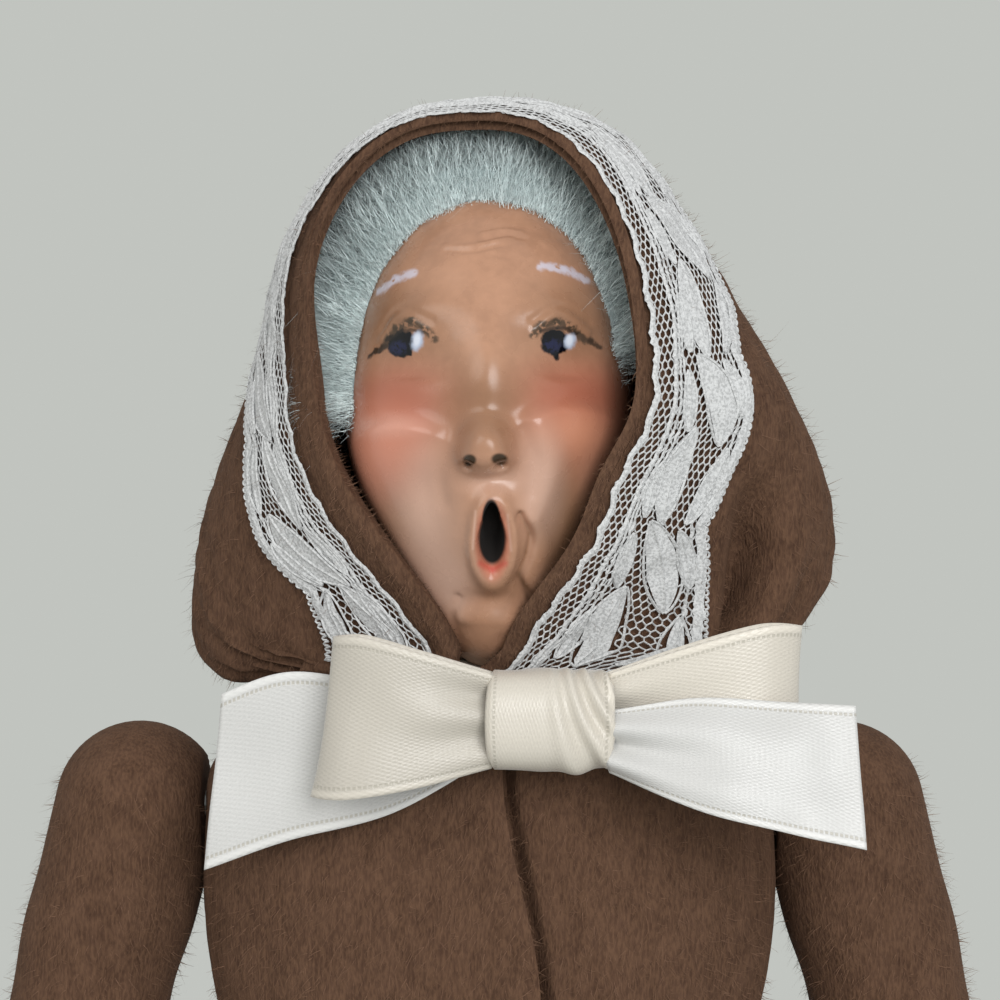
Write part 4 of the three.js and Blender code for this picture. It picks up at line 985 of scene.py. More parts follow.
def hood_shape(back, side):
    """A point of the hood before it is turned on the head. Back is 0 at the rim and 1 at the nape."""
    back, side = np.broadcast_arrays(np.asarray(back, dtype=float), np.asarray(side, dtype=float))
    foot = np.radians(mix(19, 110, back))
    crown = np.radians(mix(114, -66, back))
    crown_y = 1.4 + HOOD_HALF_DEPTH * np.cos(crown)
    crown_z = np.maximum(HEAD_MIDDLE[2] + HOOD_HALF_HEIGHT * np.sin(crown), HOOD_FOOT)
    turn = np.abs(side) * math.pi
    rise = (1 + np.cos(turn)) / 2
    low = mix(3.6, 0.85, smooth(back, 0, 0.4))
    power = np.where(turn > math.pi / 2, low, 0.78)
    loose = 1 - (1 - np.minimum(back / 0.45, 1)) ** 2.2
    drawn = smooth(back, 0.6, 1)
    half_width = mix(mix(18.6, 28.5, loose), 0.62 * HOOD_NECK, drawn)
    slack = np.where(side > 0, 8.5, 6.4)
    level = hump(rise, np.where(side > 0, 0.24, 0.21), np.where(side > 0, 0.42, 0.28))
    jowl = slack * loose * (1 - drawn) * level
    half = (half_width + jowl) * np.clip(np.sin(turn), 0, 1) ** power
    half = half + HOOD_NECK * np.sin(foot) * (1 - rise) ** 3
    bow = 3.4 * np.clip(np.sin(math.pi * rise), 0, 1) ** 0.6 * (1 - smooth(back, 0, 0.3))
    y = mix(-HOOD_NECK * np.cos(foot), crown_y, rise) - bow
    rim = 1 - smooth(back, 0, 0.4)
    half = half * (1 + 0.09 * smooth(rise, 0.45, 0.8) * rim)
    slip = mix(3.2, 0.9, smooth(rise, 0.35, 0.8)) * smooth(rise, 0, 0.06) * rim
    slip = slip * np.where(side > 0, 0.7, 1.0)
    drawn_in = 2.4 * hump(rise, 0.10, 0.37) * rim * np.where(side > 0, 1.0, 0.0)
    sag = 4.2 * hump(turn, 0.42, 2.3) * loose * (1 - drawn)
    return stacked(np.sign(side) * half + slip - drawn_in, y, mix(HOOD_FOOT, crown_z, rise) - sag)


def hood_normal(back, side):
    step = 0.006
    along = hood_shape(np.minimum(back + step, 1), side) - hood_shape(np.maximum(back - step, 0), side)
    across = hood_shape(back, np.minimum(side + step, 1)) - hood_shape(back, np.maximum(side - step, -1))
    return unit(np.cross(across, along))


def hood_place(back, side, lift=0.0):
    """Points of the worn hood, lifted off its face, and the face's normals."""
    back, side = np.broadcast_arrays(np.asarray(back, dtype=float), np.asarray(side, dtype=float))
    normal = hood_normal(back, side)
    raised = np.broadcast_to(hood_relief(back, side) + lift, back.shape)
    points = hood_shape(back, side) + normal * raised[..., None]
    points[..., 2] = np.maximum(points[..., 2], HOOD_FOOT - 4.0)
    c, s = math.cos(HOOD_TURN), math.sin(HOOD_TURN)
    turn = np.array([[c, s, 0], [-s, c, 0], [0, 0, 1]])
    return points @ turn + HOOD_PLACE, normal @ turn


class CAROLER_OT_hood(bpy.types.Operator):
    """Makes the felt hood with its rounded rim, folds and loose fibres."""
    bl_idname = "caroler.hood"
    bl_label = "Hood"

    def execute(self, context):
        felt = settings().felt
        back = np.concatenate([np.linspace(0, 0.1, 20), np.linspace(0.11, 1, 90)])[:, None]
        side = np.linspace(-1, 1, 261)[None]
        grid, normals = hood_place(back, side)
        inward = unit(grid[0] - grid[8])
        share = np.linspace(1, 0, 16)[:, None, None]
        depth = np.interp(side[0], *RIM_DEPTH)[None, :, None]
        roll = np.minimum(depth, 1.5) * np.minimum(share * 4, 1)
        turned = grid[0] + inward * (roll - 0.6 * share ** 2 * depth) - normals[0] * depth * share
        turned[..., 2] = np.maximum(turned[..., 2], HOOD_FOOT)
        turned = turned[:-1]
        whole = np.concatenate([turned, grid])
        hood = add_piece("hood_felt", whole, grid_faces(*whole.shape[:2]),
                         shared_material("brown felt", brown_felt), "head", ["hood"])
        thicken(hood, FELT, FELT_EDGE)
        nap = add_nap("hood_nap", [grid], felt.fibres, 31, felt.nap / MM, "head")
        fuzz = add_nap("hood_rim_nap", [whole[:18]], 3600, 33, 0.55 * felt.nap / MM, "head")
        return {"FINISHED"}


# Lace

LACE_REACH = 0.905
SCALLOP = 18.5
LACE_SHIFT = 7.0
NET_ROW = 0.86
NET_COLUMN = 0.36
LACE_LIFT = 0.75
# Rows of a leaf's start along and across the lace, its end, half width and bow.
# Along is in scallops and across is a share of the width.
LEAVES = [
    (0.00, 0.46, 0.54, 0.76, 2.0, 0.6), (0.42, 0.46, 1.02, 0.58, 1.6, -0.8),
    (0.55, 0.86, 1.00, 0.80, 1.0, 0.3), (0.08, 0.33, 0.44, 0.40, 0.7, -0.3),
    (0.62, 0.32, 0.98, 0.38, 0.7, -0.2), (0.04, 0.74, 0.36, 0.88, 0.8, 0.3),
]


def lace_start(side):
    """How far back from the rim the lace begins: closer at the crown and on the figure's left."""
    return mix(0.034, 0.014, smooth(side, -0.2, 0.4)) * (1 - 0.93 * hump(side, 0.3))


def lace_rate(side):
    """Millimetres of hood per unit of back, near the rim."""
    step = hood_shape(0.08, side) - hood_shape(0.03, side)
    return np.maximum(np.linalg.norm(step, axis=-1) / 0.05, 36.7)


def lace_line():
    """Sides of the hood along the lace, and the length of lace up to each."""
    side = np.linspace(-LACE_REACH, LACE_REACH, 500)
    points = hood_shape(lace_start(side) + 5 / lace_rate(side), side)
    run = np.concatenate([[0], np.cumsum(np.linalg.norm(np.diff(points, axis=0), axis=1))])
    return side, run


def lace_width(run):
    """Width of the lace along its length: scallops on the outer edge."""
    wide = (10.0 + 1.6 * smooth(run, 75, 110)) * mix(0.6, 1.0, smooth(run, -2, 20))
    return wide + 2.0 * np.abs(np.sin(math.pi * (run + LACE_SHIFT) / SCALLOP)) ** 0.75


def white_lace(name):
    """White cotton thread, finely speckled."""
    trim = settings().trim
    material, tree, shader = new_material(name, Roughness=0.85, Specular_IOR_Level=0.25, Sheen_Weight=0.2)
    place = object_place(tree)
    specks = noise(tree, place, 3200.0, 3.0)
    dark = tinted(trim.lace, 0.70)
    shade = blend_colours(tree, between(tree, specks, 0.36, 0.58), dark, trim.lace)
    feed(tree, shader, Base_Color=shade, Normal=bump(tree, specks, 0.8, 0.25))
    return material


def lace_strips(line, run, width, half, thick, lift=0.0):
    """Strips of the lace along paths over it. Half and thick are their half sizes."""
    side_line, run_line = line
    side = np.interp(run, run_line, side_line)
    centres, normals = hood_place(lace_start(side) + width / lace_rate(side), side, LACE_LIFT + lift)
    ahead = unit(np.gradient(centres, axis=1))
    across = unit(np.cross(normals, ahead))
    half, thick = (np.broadcast_to(size, run.shape)[..., None] for size in (half, thick))
    return swept(centres, across * half, normals * thick)


def lace_leaves(whole, rng):
    """Paths along and across the lace of its leaves, and their half widths."""
    t = np.linspace(0, 1, 19)
    leaves = []
    for k in range(int(whole / SCALLOP) + 2):
        for s0, w0, s1, w1, half, bow in LEAVES:
            run = (k + mix(s0, s1, t)) * SCALLOP - LACE_SHIFT
            across = mix(w0, w1, t) * lace_width(run) + bow * np.sin(math.pi * t)
            leaves.append((run, across, half * np.sin(math.pi * t) ** 0.75 * rng.uniform(0.9, 1.1) + 0.06))
    run, across, half = np.array(leaves).transpose(1, 0, 2)
    kept = (run.min(axis=1) > 0) & (run.max(axis=1) < whole)
    return run[kept], across[kept], half[kept]


def lace_net(whole, leaves, rng):
    """Ends along and across the lace of the net's threads, which stop at the leaves."""
    r, i = np.meshgrid(np.arange(int(whole / NET_ROW)), np.arange(40), indexing="ij")
    up = (r + i) % 2 == 0
    run = (r + 0.5 + np.where(up, 0.24, -0.24)) * NET_ROW + rng.normal(0, 0.04, r.shape)
    across = 0.3 + i * NET_COLUMN + rng.normal(0, 0.027, r.shape)
    inside = across < lace_width(run) - 0.4
    for leaf_run, leaf_across, leaf_half in zip(*leaves):
        far = np.hypot(run[..., None] - leaf_run, across[..., None] - leaf_across)
        inside &= (far > 0.75 * leaf_half).all(axis=-1)
    zigzag = inside[:, :-1] & inside[:, 1:]
    links = up[:-1] & inside[:-1] & inside[1:]
    return [np.concatenate([stacked(values[:, :-1], values[:, 1:])[zigzag],
                            stacked(values[:-1], values[1:])[links]]) for values in (run, across)]


class CAROLER_OT_lace(bpy.types.Operator):
    """Makes the lace: a net of thread with outlined leaves, ribs and a scalloped edge."""
    bl_idname = "caroler.lace"
    bl_label = "Lace"

    def execute(self, context):
        line = lace_line()
        whole = line[1][-1]
        rng = np.random.default_rng(5)
        leaves = lace_leaves(whole, rng)
        run, across, half = leaves
        parts = [lace_strips(line, *leaves, 0.05, 0.08)]
        ahead_run, ahead_across = (np.gradient(values, axis=1) for values in (run, across))
        pace = np.hypot(ahead_run, ahead_across)
        for edge in (-1, 0, 1):
            parts.append(lace_strips(line, run - edge * half * ahead_across / pace,
                                     across + edge * half * ahead_run / pace, 0.16, 0.16, 0.12))
        thread = 0.5 * settings().trim.thread / MM
        parts.append(lace_strips(line, *lace_net(whole, leaves, rng), thread, thread))

        run = np.linspace(0, whole, int(whole / 0.35))[None]
        wave = 2 * math.pi * run / SCALLOP
        fray = rng.normal(0, 0.06, run.shape)
        for width, half in ((lace_width(run) - 0.5, 0.58), (0.35 + 0.2 * np.sin(4 * wave), 0.30),
                            (lace_width(run) - 1.7, 0.15), (2.8 + 0.25 * np.sin(wave), 0.22),
                            (3.4 + 0.3 * np.sin(wave + 0.4), 0.11), (3.9 + 0.4 * np.sin(wave + 0.8), 0.11)):
            parts.append(lace_strips(line, run, width + fray, half + np.abs(fray), 0.15, 0.1))
        loops = np.arange(0.6, whole - 0.6, 0.8)[:, None]
        turn = np.linspace(0, math.pi, 5)[None]
        loop_across = lace_width(loops) + 0.02 + 0.32 * np.sin(turn)
        parts.append(lace_strips(line, loops - 0.32 * np.cos(turn), loop_across, 0.14, 0.14, 0.05))
        points, faces = joined(parts)
        lace = add_piece("lace_net", points, faces, white_lace("white lace"), "head", ["lace_trim"])
        lace.data.polygons.foreach_set("use_smooth", np.zeros(len(lace.data.polygons), dtype=bool))
        return {"FINISHED"}


# Ribbon

def ivory_satin(name, tint):
    """Satin ribbon: a fine weave and a stitched line near each edge. Its map is in tenths of a metre."""
    trim = settings().trim
    material, tree, shader = new_material(name, Roughness=0.38, Specular_IOR_Level=0.5, Sheen_Weight=0.3,
                                          Sheen_Roughness=0.35)
    cloth = add_node(tree, "ShaderNodeUVMap", uv_map="cloth").outputs[0]
    parts = add_node(tree, "ShaderNodeSeparateXYZ", {0: cloth}).outputs
    run = times(tree, parts["X"], 100.0)
    across = times(tree, parts["Y"], 100.0)
    from_middle = compute(tree, "ABSOLUTE", across)
    place = add_node(tree, "ShaderNodeMapping", {"Vector": cloth, "Scale": (100.0, 100.0, 1.0)}).outputs[0]
    threads = noise(tree, place, 3.4, 3.0, (1.0, 3.4, 1.0))
    weave = times(tree, compute(tree, "SINE", times(tree, run, 5.6)),
                  compute(tree, "SINE", times(tree, across, 14.5)))
    on_line = compute(tree, "ABSOLUTE", compute(tree, "SUBTRACT", from_middle, 6.9))
    on_line = between(tree, on_line, 0.08, 0.24, 1.0, 0.0)
    dash = between(tree, compute(tree, "SINE", times(tree, run, 12.0)), -0.6, 0.0)
    stitched = times(tree, on_line, dash)
    edge = between(tree, from_middle, 7.05, 7.4)
    cream = tinted(tint, 0.84)
    shade = blend_colours(tree, between(tree, threads, 0.3, 0.7), cream, tint)
    shade = blend_colours(tree, between(tree, weave, -0.2, 0.9, 0.0, 0.35), shade, cream)
    selvedge = tinted(tint, 1.12)
    shade = blend_colours(tree, times(tree, edge, 0.8), shade, selvedge)
    shade = blend_colours(tree, times(tree, stitched, 0.7), shade, trim.stitch)
    height = compute(tree, "ADD", times(tree, threads, 0.5), times(tree, weave, -0.25))
    height = compute(tree, "SUBTRACT", height, times(tree, stitched, 1.1))
    height = compute(tree, "ADD", height, times(tree, edge, 0.5))
    rough = between(tree, threads, 0.3, 0.7, 0.40, 0.24)
    feed(tree, shader, Base_Color=shade, Roughness=rough, Normal=bump(tree, height, 0.35, 0.18))
    return material


RIBBON_COLUMNS = 41
RIBBON_STEPS = 400


def add_ribbon(name, stations, node, satin, rows, slant=0.0, pleats=2.5, seed=1, end=0.0):
    """A strip of ribbon along stations of [x, y, z, width, lean]. It is pleated where it is drawn narrow.

    Lean is how far the lower edge comes forward of the middle. End moves the end's upper corner along X.
    """
    stations = np.array([(*row, 0.0)[:5] for row in stations], dtype=float)
    v = np.linspace(-1, 1, RIBBON_COLUMNS)[None]
    path = spline(stations, RIBBON_STEPS)
    share = np.linspace(0, 1, rows)[:, None] * (1 - slant * (v + 1) / 2)

    def along(values):
        return np.interp(share * (RIBBON_STEPS - 1), np.arange(RIBBON_STEPS), values)

    x, y, z, width, lean = (along(column) for column in path.T)
    ahead_x, ahead_y, _ = (along(column) for column in np.gradient(path[:, :3], axis=0).T)
    normal = unit(stacked(ahead_y, -ahead_x, 0 * ahead_x))
    drawn = np.clip(1 - np.hypot(width, 2 * lean) / RIBBON_WIDTH, 0, 1)
    fold = 1.5 * drawn ** 1.2 * np.cos(math.pi * pleats * v + 0.6 * seed)
    fold = fold + 0.28 * ripple(share * 7, v * 2, seed)
    fold = fold + 0.35 * (1 - drawn) * (v ** 2 - 0.4) * np.sin(math.pi * share) * (1 if seed % 2 else -1)
    points = stacked(x, y, z) + normal * fold[..., None]
    points[..., 2] += width / 2 * v
    points[..., 1] += lean * v
    points[..., 0] += end * (v + 0.6) / 1.6 * np.sin(math.pi * share) ** 3
    steps = np.linalg.norm(np.diff(path[:, :3], axis=0), axis=1)
    run = along(np.concatenate([[0], np.cumsum(steps)]))
    uv = stacked(run / 100, v * RIBBON_WIDTH / 200)
    ribbon = add_piece(name, points, grid_faces(rows, RIBBON_COLUMNS), satin, "figure", [node], uv)
    middle = ribbon.modifiers.new("thickness", "SOLIDIFY")
    middle.thickness = RIBBON_THICKNESS * MM
    middle.offset = 0
    apply_modifiers(ribbon)


def add_knot(satin):
    """The knot, with folds that sweep round its front."""
    x = np.linspace(-1, 1, 61)[None]
    around = np.linspace(-math.pi, math.pi, 120, endpoint=False)[:, None]
    size = 1 - 0.06 * x ** 2 - 0.16 * smooth(np.abs(x), 0.9, 1.0)
    c, s = np.cos(around), np.sin(around)
    r = (np.abs(c) ** 2.6 + np.abs(s) ** 2.6) ** (-1 / 2.6)
    ahead = smooth(c, -0.2, 0.6)
    sweep = 2.4 * x + 1.3 * np.sin(around) * smooth(x, -0.4, 1.0)
    fold = 0.46 * np.sin(2 * math.pi * sweep) * ahead * smooth(x, -0.25, 0.5)
    fold = fold + 0.14 * ripple(x * 4, np.cos(around) * 2, 8)
    out = np.broadcast_to(size * r, fold.shape)
    points = stacked(KNOT[0] + KNOT_HALF[0] * x * (1 + 0.03 * np.cos(2 * around)),
                     KNOT[1] - (KNOT_HALF[1] * out + fold) * c, KNOT[2] + (KNOT_HALF[2] * out + fold) * s)
    uv = stacked(around * 5.3 / 100, x * RIBBON_WIDTH / 200)
    faces = grid_faces(*points.shape[:2], round_rows=True)
    knot = add_piece("bow_knot_wrap", points, faces, satin, "figure", ["bow_knot"], uv)
    thicken(knot, RIBBON_THICKNESS)


def add_loops(satin, painted_shade_satin):
    """The bow's two loops; the right one is in a darker copy of the satin, a painted shade for the loop that
    faces away from the light.
    """
    loops = (("left", 1, 2.0, RIBBON_WIDTH, 0.0, 26.2, satin, 3),
             ("right", -1, 0.4, 16.8, 2.4, 24.4, painted_shade_satin, 4))
    for label, sign, rise, wide, corner, far, cloth, seed in loops:
        end = KNOT[2] + rise
        part = KNOT[2] + 0.4 * rise
        reach = [KNOT[0] + sign * mix(RIBBON_ROOT, far, t) for t in (0, 0.4, 0.8, 1)]
        add_ribbon(f"bow_{label}_loop_ribbon", [
            (reach[0], KNOT[1] - 1.6, KNOT[2], 9.8), (reach[1], KNOT_FRONT + 1.4, part, 13.8),
            (reach[2], KNOT_FRONT + 1.6, end, wide), (reach[3], KNOT_FRONT + 4.2, end, wide),
            (reach[2], KNOT_FRONT + 6.4, end, wide), (reach[1], KNOT_FRONT + 6.0, part, 13.8),
            (reach[0], KNOT[1] + 1.2, KNOT[2], 9.8),
        ], f"bow_{label}_loop", cloth, 110, seed=seed, end=corner)


def add_tails(satin):
    """The bow's two tails. The right one starts behind the knot and the left one in front."""
    behind = KNOT[1] + KNOT_HALF[1] - 1.2
    ahead = KNOT_FRONT + 0.6
    out = [KNOT[0] - mix(RIBBON_ROOT, 37.0, t) for t in (0, 0.35, 0.7, 1)]
    add_ribbon("bow_right_tail_ribbon", [
        (out[0], behind, KNOT[2] - 1.5, 5.6), (out[1], behind, KNOT[2] - 3.6, 13.5),
        (out[2], behind + 1.0, KNOT[2] - 4.3, 18.0), (out[3], behind + 2.4, KNOT[2] - 7.6, 18.2),
    ], "bow_right_tail", satin, 60, 0.07, 2.0, 5)
    out = [KNOT[0] + mix(RIBBON_ROOT, 32.0, t) for t in (0, 0.35, 0.7, 1)]
    add_ribbon("bow_left_tail_ribbon", [
        (out[0], KNOT[1] - 3.2, KNOT[2] - 2.0, 6.4), (out[1], ahead - 2.2, KNOT[2] - 3.0, 11.2, 1.8),
        (out[2], ahead - 2.6, KNOT[2] - 4.3, 12.9, 2.4), (out[3], ahead - 2.4, KNOT[2] - 5.3, 14.2, 2.4),
    ], "bow_left_tail", satin, 60, 0.02, 2.0, 6)


def add_band(satin):
    """The folded ribbon round the neck."""
    around = np.linspace(0, 2 * math.pi, 160, endpoint=False)[:, None]
    v = np.linspace(-1, 1, 15)[None]
    fold = 0.3 * np.cos(math.pi * 2 * v + np.sin(2 * around))
    points = stacked((BAND_HALF[0] + fold) * np.sin(around),
                     BAND_MIDDLE - (BAND_HALF[1] + fold) * np.cos(around), KNOT[2] + 2.8 * v)
    uv = stacked(around * 14.5 / 100, v * RIBBON_WIDTH / 200)
    faces = grid_faces(*points.shape[:2], round_rows=True)[:, ::-1]
    band = add_piece("ribbon_band", points, faces, satin, "figure", ["ribbon_neck_band"], uv)
    thicken(band, 0.3)


class CAROLER_OT_bow(bpy.types.Operator):
    """Ties the satin bow: knot, two loops, two tails and the band round the neck."""
    bl_idname = "caroler.bow"
    bl_label = "Bow"

    def execute(self, context):
        trim = settings().trim
        satin = ivory_satin("ivory satin", trim.ribbon)
        paler = ivory_satin("satin back", trim.reverse)
        # A darker copy of the same satin: painted shade for the right loop.
        painted_shade_satin = ivory_satin("satin with painted shade", tinted(trim.ribbon, 0.84))
        add_knot(satin)
        add_loops(satin, painted_shade_satin)
        add_tails(paler)
        add_band(satin)
        return {"FINISHED"}


# Coat, sleeves and skirt

OVAL_POWER = 2.4


def oval(angle, half_width, half_depth):
    """A place on a rounded oval. The angle is 0 at the front and grows towards the figure's left."""
    s, c = np.sin(angle), np.cos(angle)
    r = (np.abs(s) ** OVAL_POWER + np.abs(c) ** OVAL_POWER) ** (-1 / OVAL_POWER)
    return half_width * r * s, -half_depth * r * c


def flare_row(z, inset=0.0):
    """Height, half width, half depth, middle and fold depth of the coat or skirt below the waist."""
    share = (WAIST - z) / (WAIST - COAT_HEM)
    spread = share ** 0.85
    half_width, half_depth = (mix(waist, hem, spread) - inset for waist, hem in zip(WAIST_HALF, HEM_HALF))
    return (z, half_width, half_depth, 0.0, 2.4 * min(share, 1) ** 1.5)


def coat_rows():
    """Rows of the coat from its collar to its hem, as in flare_row."""
    rows = []
    for down, out, ahead in ((0, 0, 0), (0.13, 0.72, 0.3), (0.4, 0.94, 0.66), (1, 1, 0.85)):
        rows.append((mix(COLLAR, SHOULDER, down), mix(COLLAR_HALF[0], CHEST_HALF[0], out),
                     mix(COLLAR_HALF[1], CHEST_HALF[1], ahead), mix(-4.4, 0, ahead / 0.85), 0.0))
    rows += [(238.0, *CHEST_HALF, 0.0, 0.0), (220.9, 29.4, 21.7, 0.0, 0.0), (WAIST, *WAIST_HALF, 0.0, 0.0)]
    return rows + [flare_row(mix(WAIST, COAT_HEM, share)) for share in (0.2, 0.45, 0.72, 1.0)]


def garment(rows, angle, lift):
    """Points of a garment at rows of [z, half width, half depth, middle, fold] and angles round it."""
    z, half_width, half_depth, middle, fold = (rows[:, k][:, None] for k in range(5))
    raised = fold * np.cos(9 * angle) + lift
    x, y = oval(angle, half_width + raised, half_depth + raised)
    return stacked(x, y + middle, z)


def beside_sleeve(points):
    """Whether points of the coat lie where a sleeve swings past."""
    return (np.abs(points[:, 0]) > 31.0) & (points[:, 2] > 215)


class CAROLER_OT_coat(bpy.types.Operator):
    """Makes the felt coat: two fronts that overlap, a back and loose fibres."""
    bl_idname = "caroler.coat"
    bl_label = "Coat"

    def execute(self, context):
        felt = settings().felt
        rows = spline(coat_rows(), 170)
        z = rows[:, 0][:, None]
        opening = np.radians(mix(2.6, 9.5, smooth(258 - z, 0, 26)))
        quarter = math.pi / 2
        panels = {
            "coat_right_front": (-quarter, opening, 100, 1, 9000, 0.072, 0.0111),
            "coat_left_front": (opening - math.radians(5), quarter, 170, -1, 9000, 0.072, 0.0111),
            "coat_back": (quarter, 3 * quarter, 150, 0, 7000, 0.146, 0.0222),
        }
        for seed, (node, (start, end, columns, lap, fibres, girth, area)) in enumerate(panels.items()):
            angle = mix(np.asarray(start), np.asarray(end), np.linspace(0, 1, columns)[None])
            lift = 0.35 * smooth(SHOULDER - z, 0, 30) * ripple(angle * 7, z / 12, 40, waves=8)
            lift = lift + 0.08 * ripple(angle * 40, z / 2.2, 41, waves=8)
            seam = np.minimum(np.abs(np.abs(angle) - quarter), np.abs(angle - 3 * quarter))
            lift = lift - 0.45 * hump(seam, 0.03)
            if lap > 0:
                lift = lift + 1.4 * smooth(angle - opening, math.radians(-15), 0)
            elif lap < 0:
                lift = lift - 0.8 * smooth(opening + math.radians(16) - angle, 0, math.radians(12))
                lift = lift - 2.0 * hump(angle - opening, math.radians(1.5), math.radians(0.9))
            hem = smooth(COAT_HEM + 5 - z, 0, 4)
            grid = garment(rows, angle, lift + 0.25 * hem)
            panel = add_piece(f"{node}_felt", grid, grid_faces(*grid.shape[:2])[:, ::-1],
                              shared_material("brown felt", brown_felt), "figure", [node])
            thicken(panel, FELT, FELT_EDGE)
            split = int(0.62 * len(rows))
            nap = add_nap(f"{node}_nap", [grid[:split], grid[split - 1:]], fibres, 50 + 4 * seed,
                          felt.nap / MM, "figure", -1.0, beside_sleeve)
        return {"FINISHED"}


def sleeve_shape(sign):
    """Points of a sleeve, its elbow's place and the directions of the upper arm and the forearm."""
    top = np.array([sign * SHOULDER_X, 0.0, SHOULDER])
    down = np.array([sign * math.sin(ARM_SPREAD), 0.0, -math.cos(ARM_SPREAD)])
    forward = np.array([0.0, -1.0, 0.0])
    fore = math.cos(ELBOW_REST) * down + math.sin(ELBOW_REST) * forward
    elbow = top + UPPER_ARM * down
    run = np.concatenate([-SLEEVE_RADIUS * np.cos(np.linspace(0.02, math.pi / 2, 16)),
                          np.linspace(0.6, UPPER_ARM + FOREARM, 130)])
    bent = smooth(run, UPPER_ARM - ELBOW_SOFT, UPPER_ARM + ELBOW_SOFT)
    step = unit(mix(down, fore, bent[:, None]))
    steps = 0.5 * (step[1:] + step[:-1]) * np.diff(run)[:, None]
    middle = top + run[0] * down + np.concatenate([np.zeros((1, 3)), np.cumsum(steps, axis=0)])
    middle = middle + bent[:, None] * (elbow + FOREARM * fore - middle[-1])
    radius = np.interp(run, [0, 0.3 * UPPER_ARM, 0.75 * UPPER_ARM, UPPER_ARM, 65, 85],
                       [SLEEVE_RADIUS, 9.4, 8.9, 8.8, 8.6, 9.4])
    radius = np.where(run < 0, np.sqrt(np.maximum(SLEEVE_RADIUS ** 2 - run ** 2, 0)), radius)
    out = np.array([sign * math.cos(ARM_SPREAD), 0.0, math.sin(ARM_SPREAD)])
    ahead = unit(np.cross(step, out) * -sign)
    ahead = ahead * np.sign(ahead @ forward)[:, None]
    around = np.linspace(0, 2 * math.pi, 120, endpoint=False)[None]
    from_elbow = run[:, None] - UPPER_ARM
    crook = hump(from_elbow, 10)
    inner = np.cos(around)
    wrinkle = 0.75 * crook * np.cos(2 * math.pi * from_elbow / 5.2) * smooth(inner, -0.1, 0.9)
    wrinkle = wrinkle - 0.9 * crook * smooth(inner, 0.1, 1.0)
    uneven = ripple(run[:, None] / 7, 2 * np.sin(around), 60)
    wrinkle = wrinkle + 0.3 * smooth(run, 4, 20)[:, None] * uneven
    reach = radius[:, None] + wrinkle * smooth(run, 0, 8)[:, None]
    ring = inner[..., None] * ahead[:, None] + np.sin(around)[..., None] * out
    outer = middle[:, None] + ring * reach[..., None]
    outer[..., 0] = sign * np.maximum(sign * outer[..., 0], SLEEVE_PLANE)
    return outer, elbow, down, fore


class CAROLER_OT_sleeves(bpy.types.Operator):
    """Makes each sleeve as one felt tube, bent at the elbow."""
    bl_idname = "caroler.sleeves"
    bl_label = "Sleeves"

    def execute(self, context):
        felt = settings().felt
        for side, sign in SIDES.items():
            outer, elbow, down, fore = sleeve_shape(sign)
            faces = grid_faces(*outer.shape[:2], round_columns=True)
            if sign > 0:
                faces = faces[:, ::-1]
            sleeve = add_piece(f"{side}_sleeve_felt", outer, faces, shared_material("brown felt", brown_felt),
                               None, [f"{side}_upper_sleeve", f"{side}_lower_sleeve"])
            thicken(sleeve, FELT, 0.35)
            closed = np.concatenate([outer, outer[:, :1]], axis=1)[12:]
            nap = add_nap(f"{side}_sleeve_nap", [closed], 9000, 70 + int(sign), felt.nap / MM, None, -sign)
            for piece in (sleeve, nap):
                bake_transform(piece)
        return {"FINISHED"}


class CAROLER_OT_mittens(bpy.types.Operator):
    """Makes the stuffed wool mittens."""
    bl_idname = "caroler.mittens"
    bl_label = "Mittens"

    def execute(self, context):
        shade = settings().lower.mitten
        wool = napped("mitten wool", shade, tinted(shade, 0.78), tinted(shade, 1.2), 1100.0, 0.5)

        def uneven(x, y, z):
            return 0.14 + 0.14 * ripple(x * 0.9 + y * 0.5, z * 0.9, 80, waves=9)

        for side in SIDES:
            mitten = soft_copy(f"{side}_mitten", "wool", 0.5, 10, uneven, wool, f"{side}_forearm")
        return {"FINISHED"}


class CAROLER_OT_skirt(bpy.types.Operator):
    """Makes the gored wool skirt with its folds."""
    bl_idname = "caroler.skirt"
    bl_label = "Skirt"

    def execute(self, context):
        shade = settings().lower.skirt
        wool = napped("skirt wool", shade, tinted(shade, 0.5), tinted(shade, 2.0), 2200.0, 0.3)
        rows = np.array([flare_row(z, 2.6) for z in np.linspace(WAIST - 0.1, SKIRT_HEM, 140)])
        z = rows[:, 0][:, None]
        angle = np.linspace(0, 2 * math.pi, 330, endpoint=False)[None]
        low = smooth(120 - z, 0, 100)
        gore = np.abs((angle * 3 / math.pi + 0.5) % 1 - 0.5)
        lift = -0.5 * hump(gore, 0.035) + 0.3 * low * ripple(9 * np.sin(angle), z / 30, 85)
        grid = garment(rows, angle, lift)
        faces = grid_faces(*grid.shape[:2], round_columns=True)[:, ::-1]
        skirt = add_piece("skirt_wool", grid, faces, wool, "figure", [f"skirt_gore_{i}" for i in range(1, 7)])
        thicken(skirt, 0.7)
        return {"FINISHED"}


# Base, boots and inner parts

def painted_boot(name):
    boot = settings().lower.boot
    material, tree, shader = new_material(name, Roughness=0.4, Specular_IOR_Level=0.5)
    mottle = use_group(tree, "mottling", build_mottle, {"Place": object_place(tree), "Fineness": 1300.0})
    shade = blend_colours(tree, times(tree, mottle["Specks"], 0.5), boot, tinted(boot, 2.4))
    rough = between(tree, mottle["Patches"], 0.0, 1.0, 0.32, 0.5)
    feed(tree, shader, Base_Color=shade, Roughness=rough, Normal=bump(tree, mottle["Height"], 0.3, 0.15))
    return material


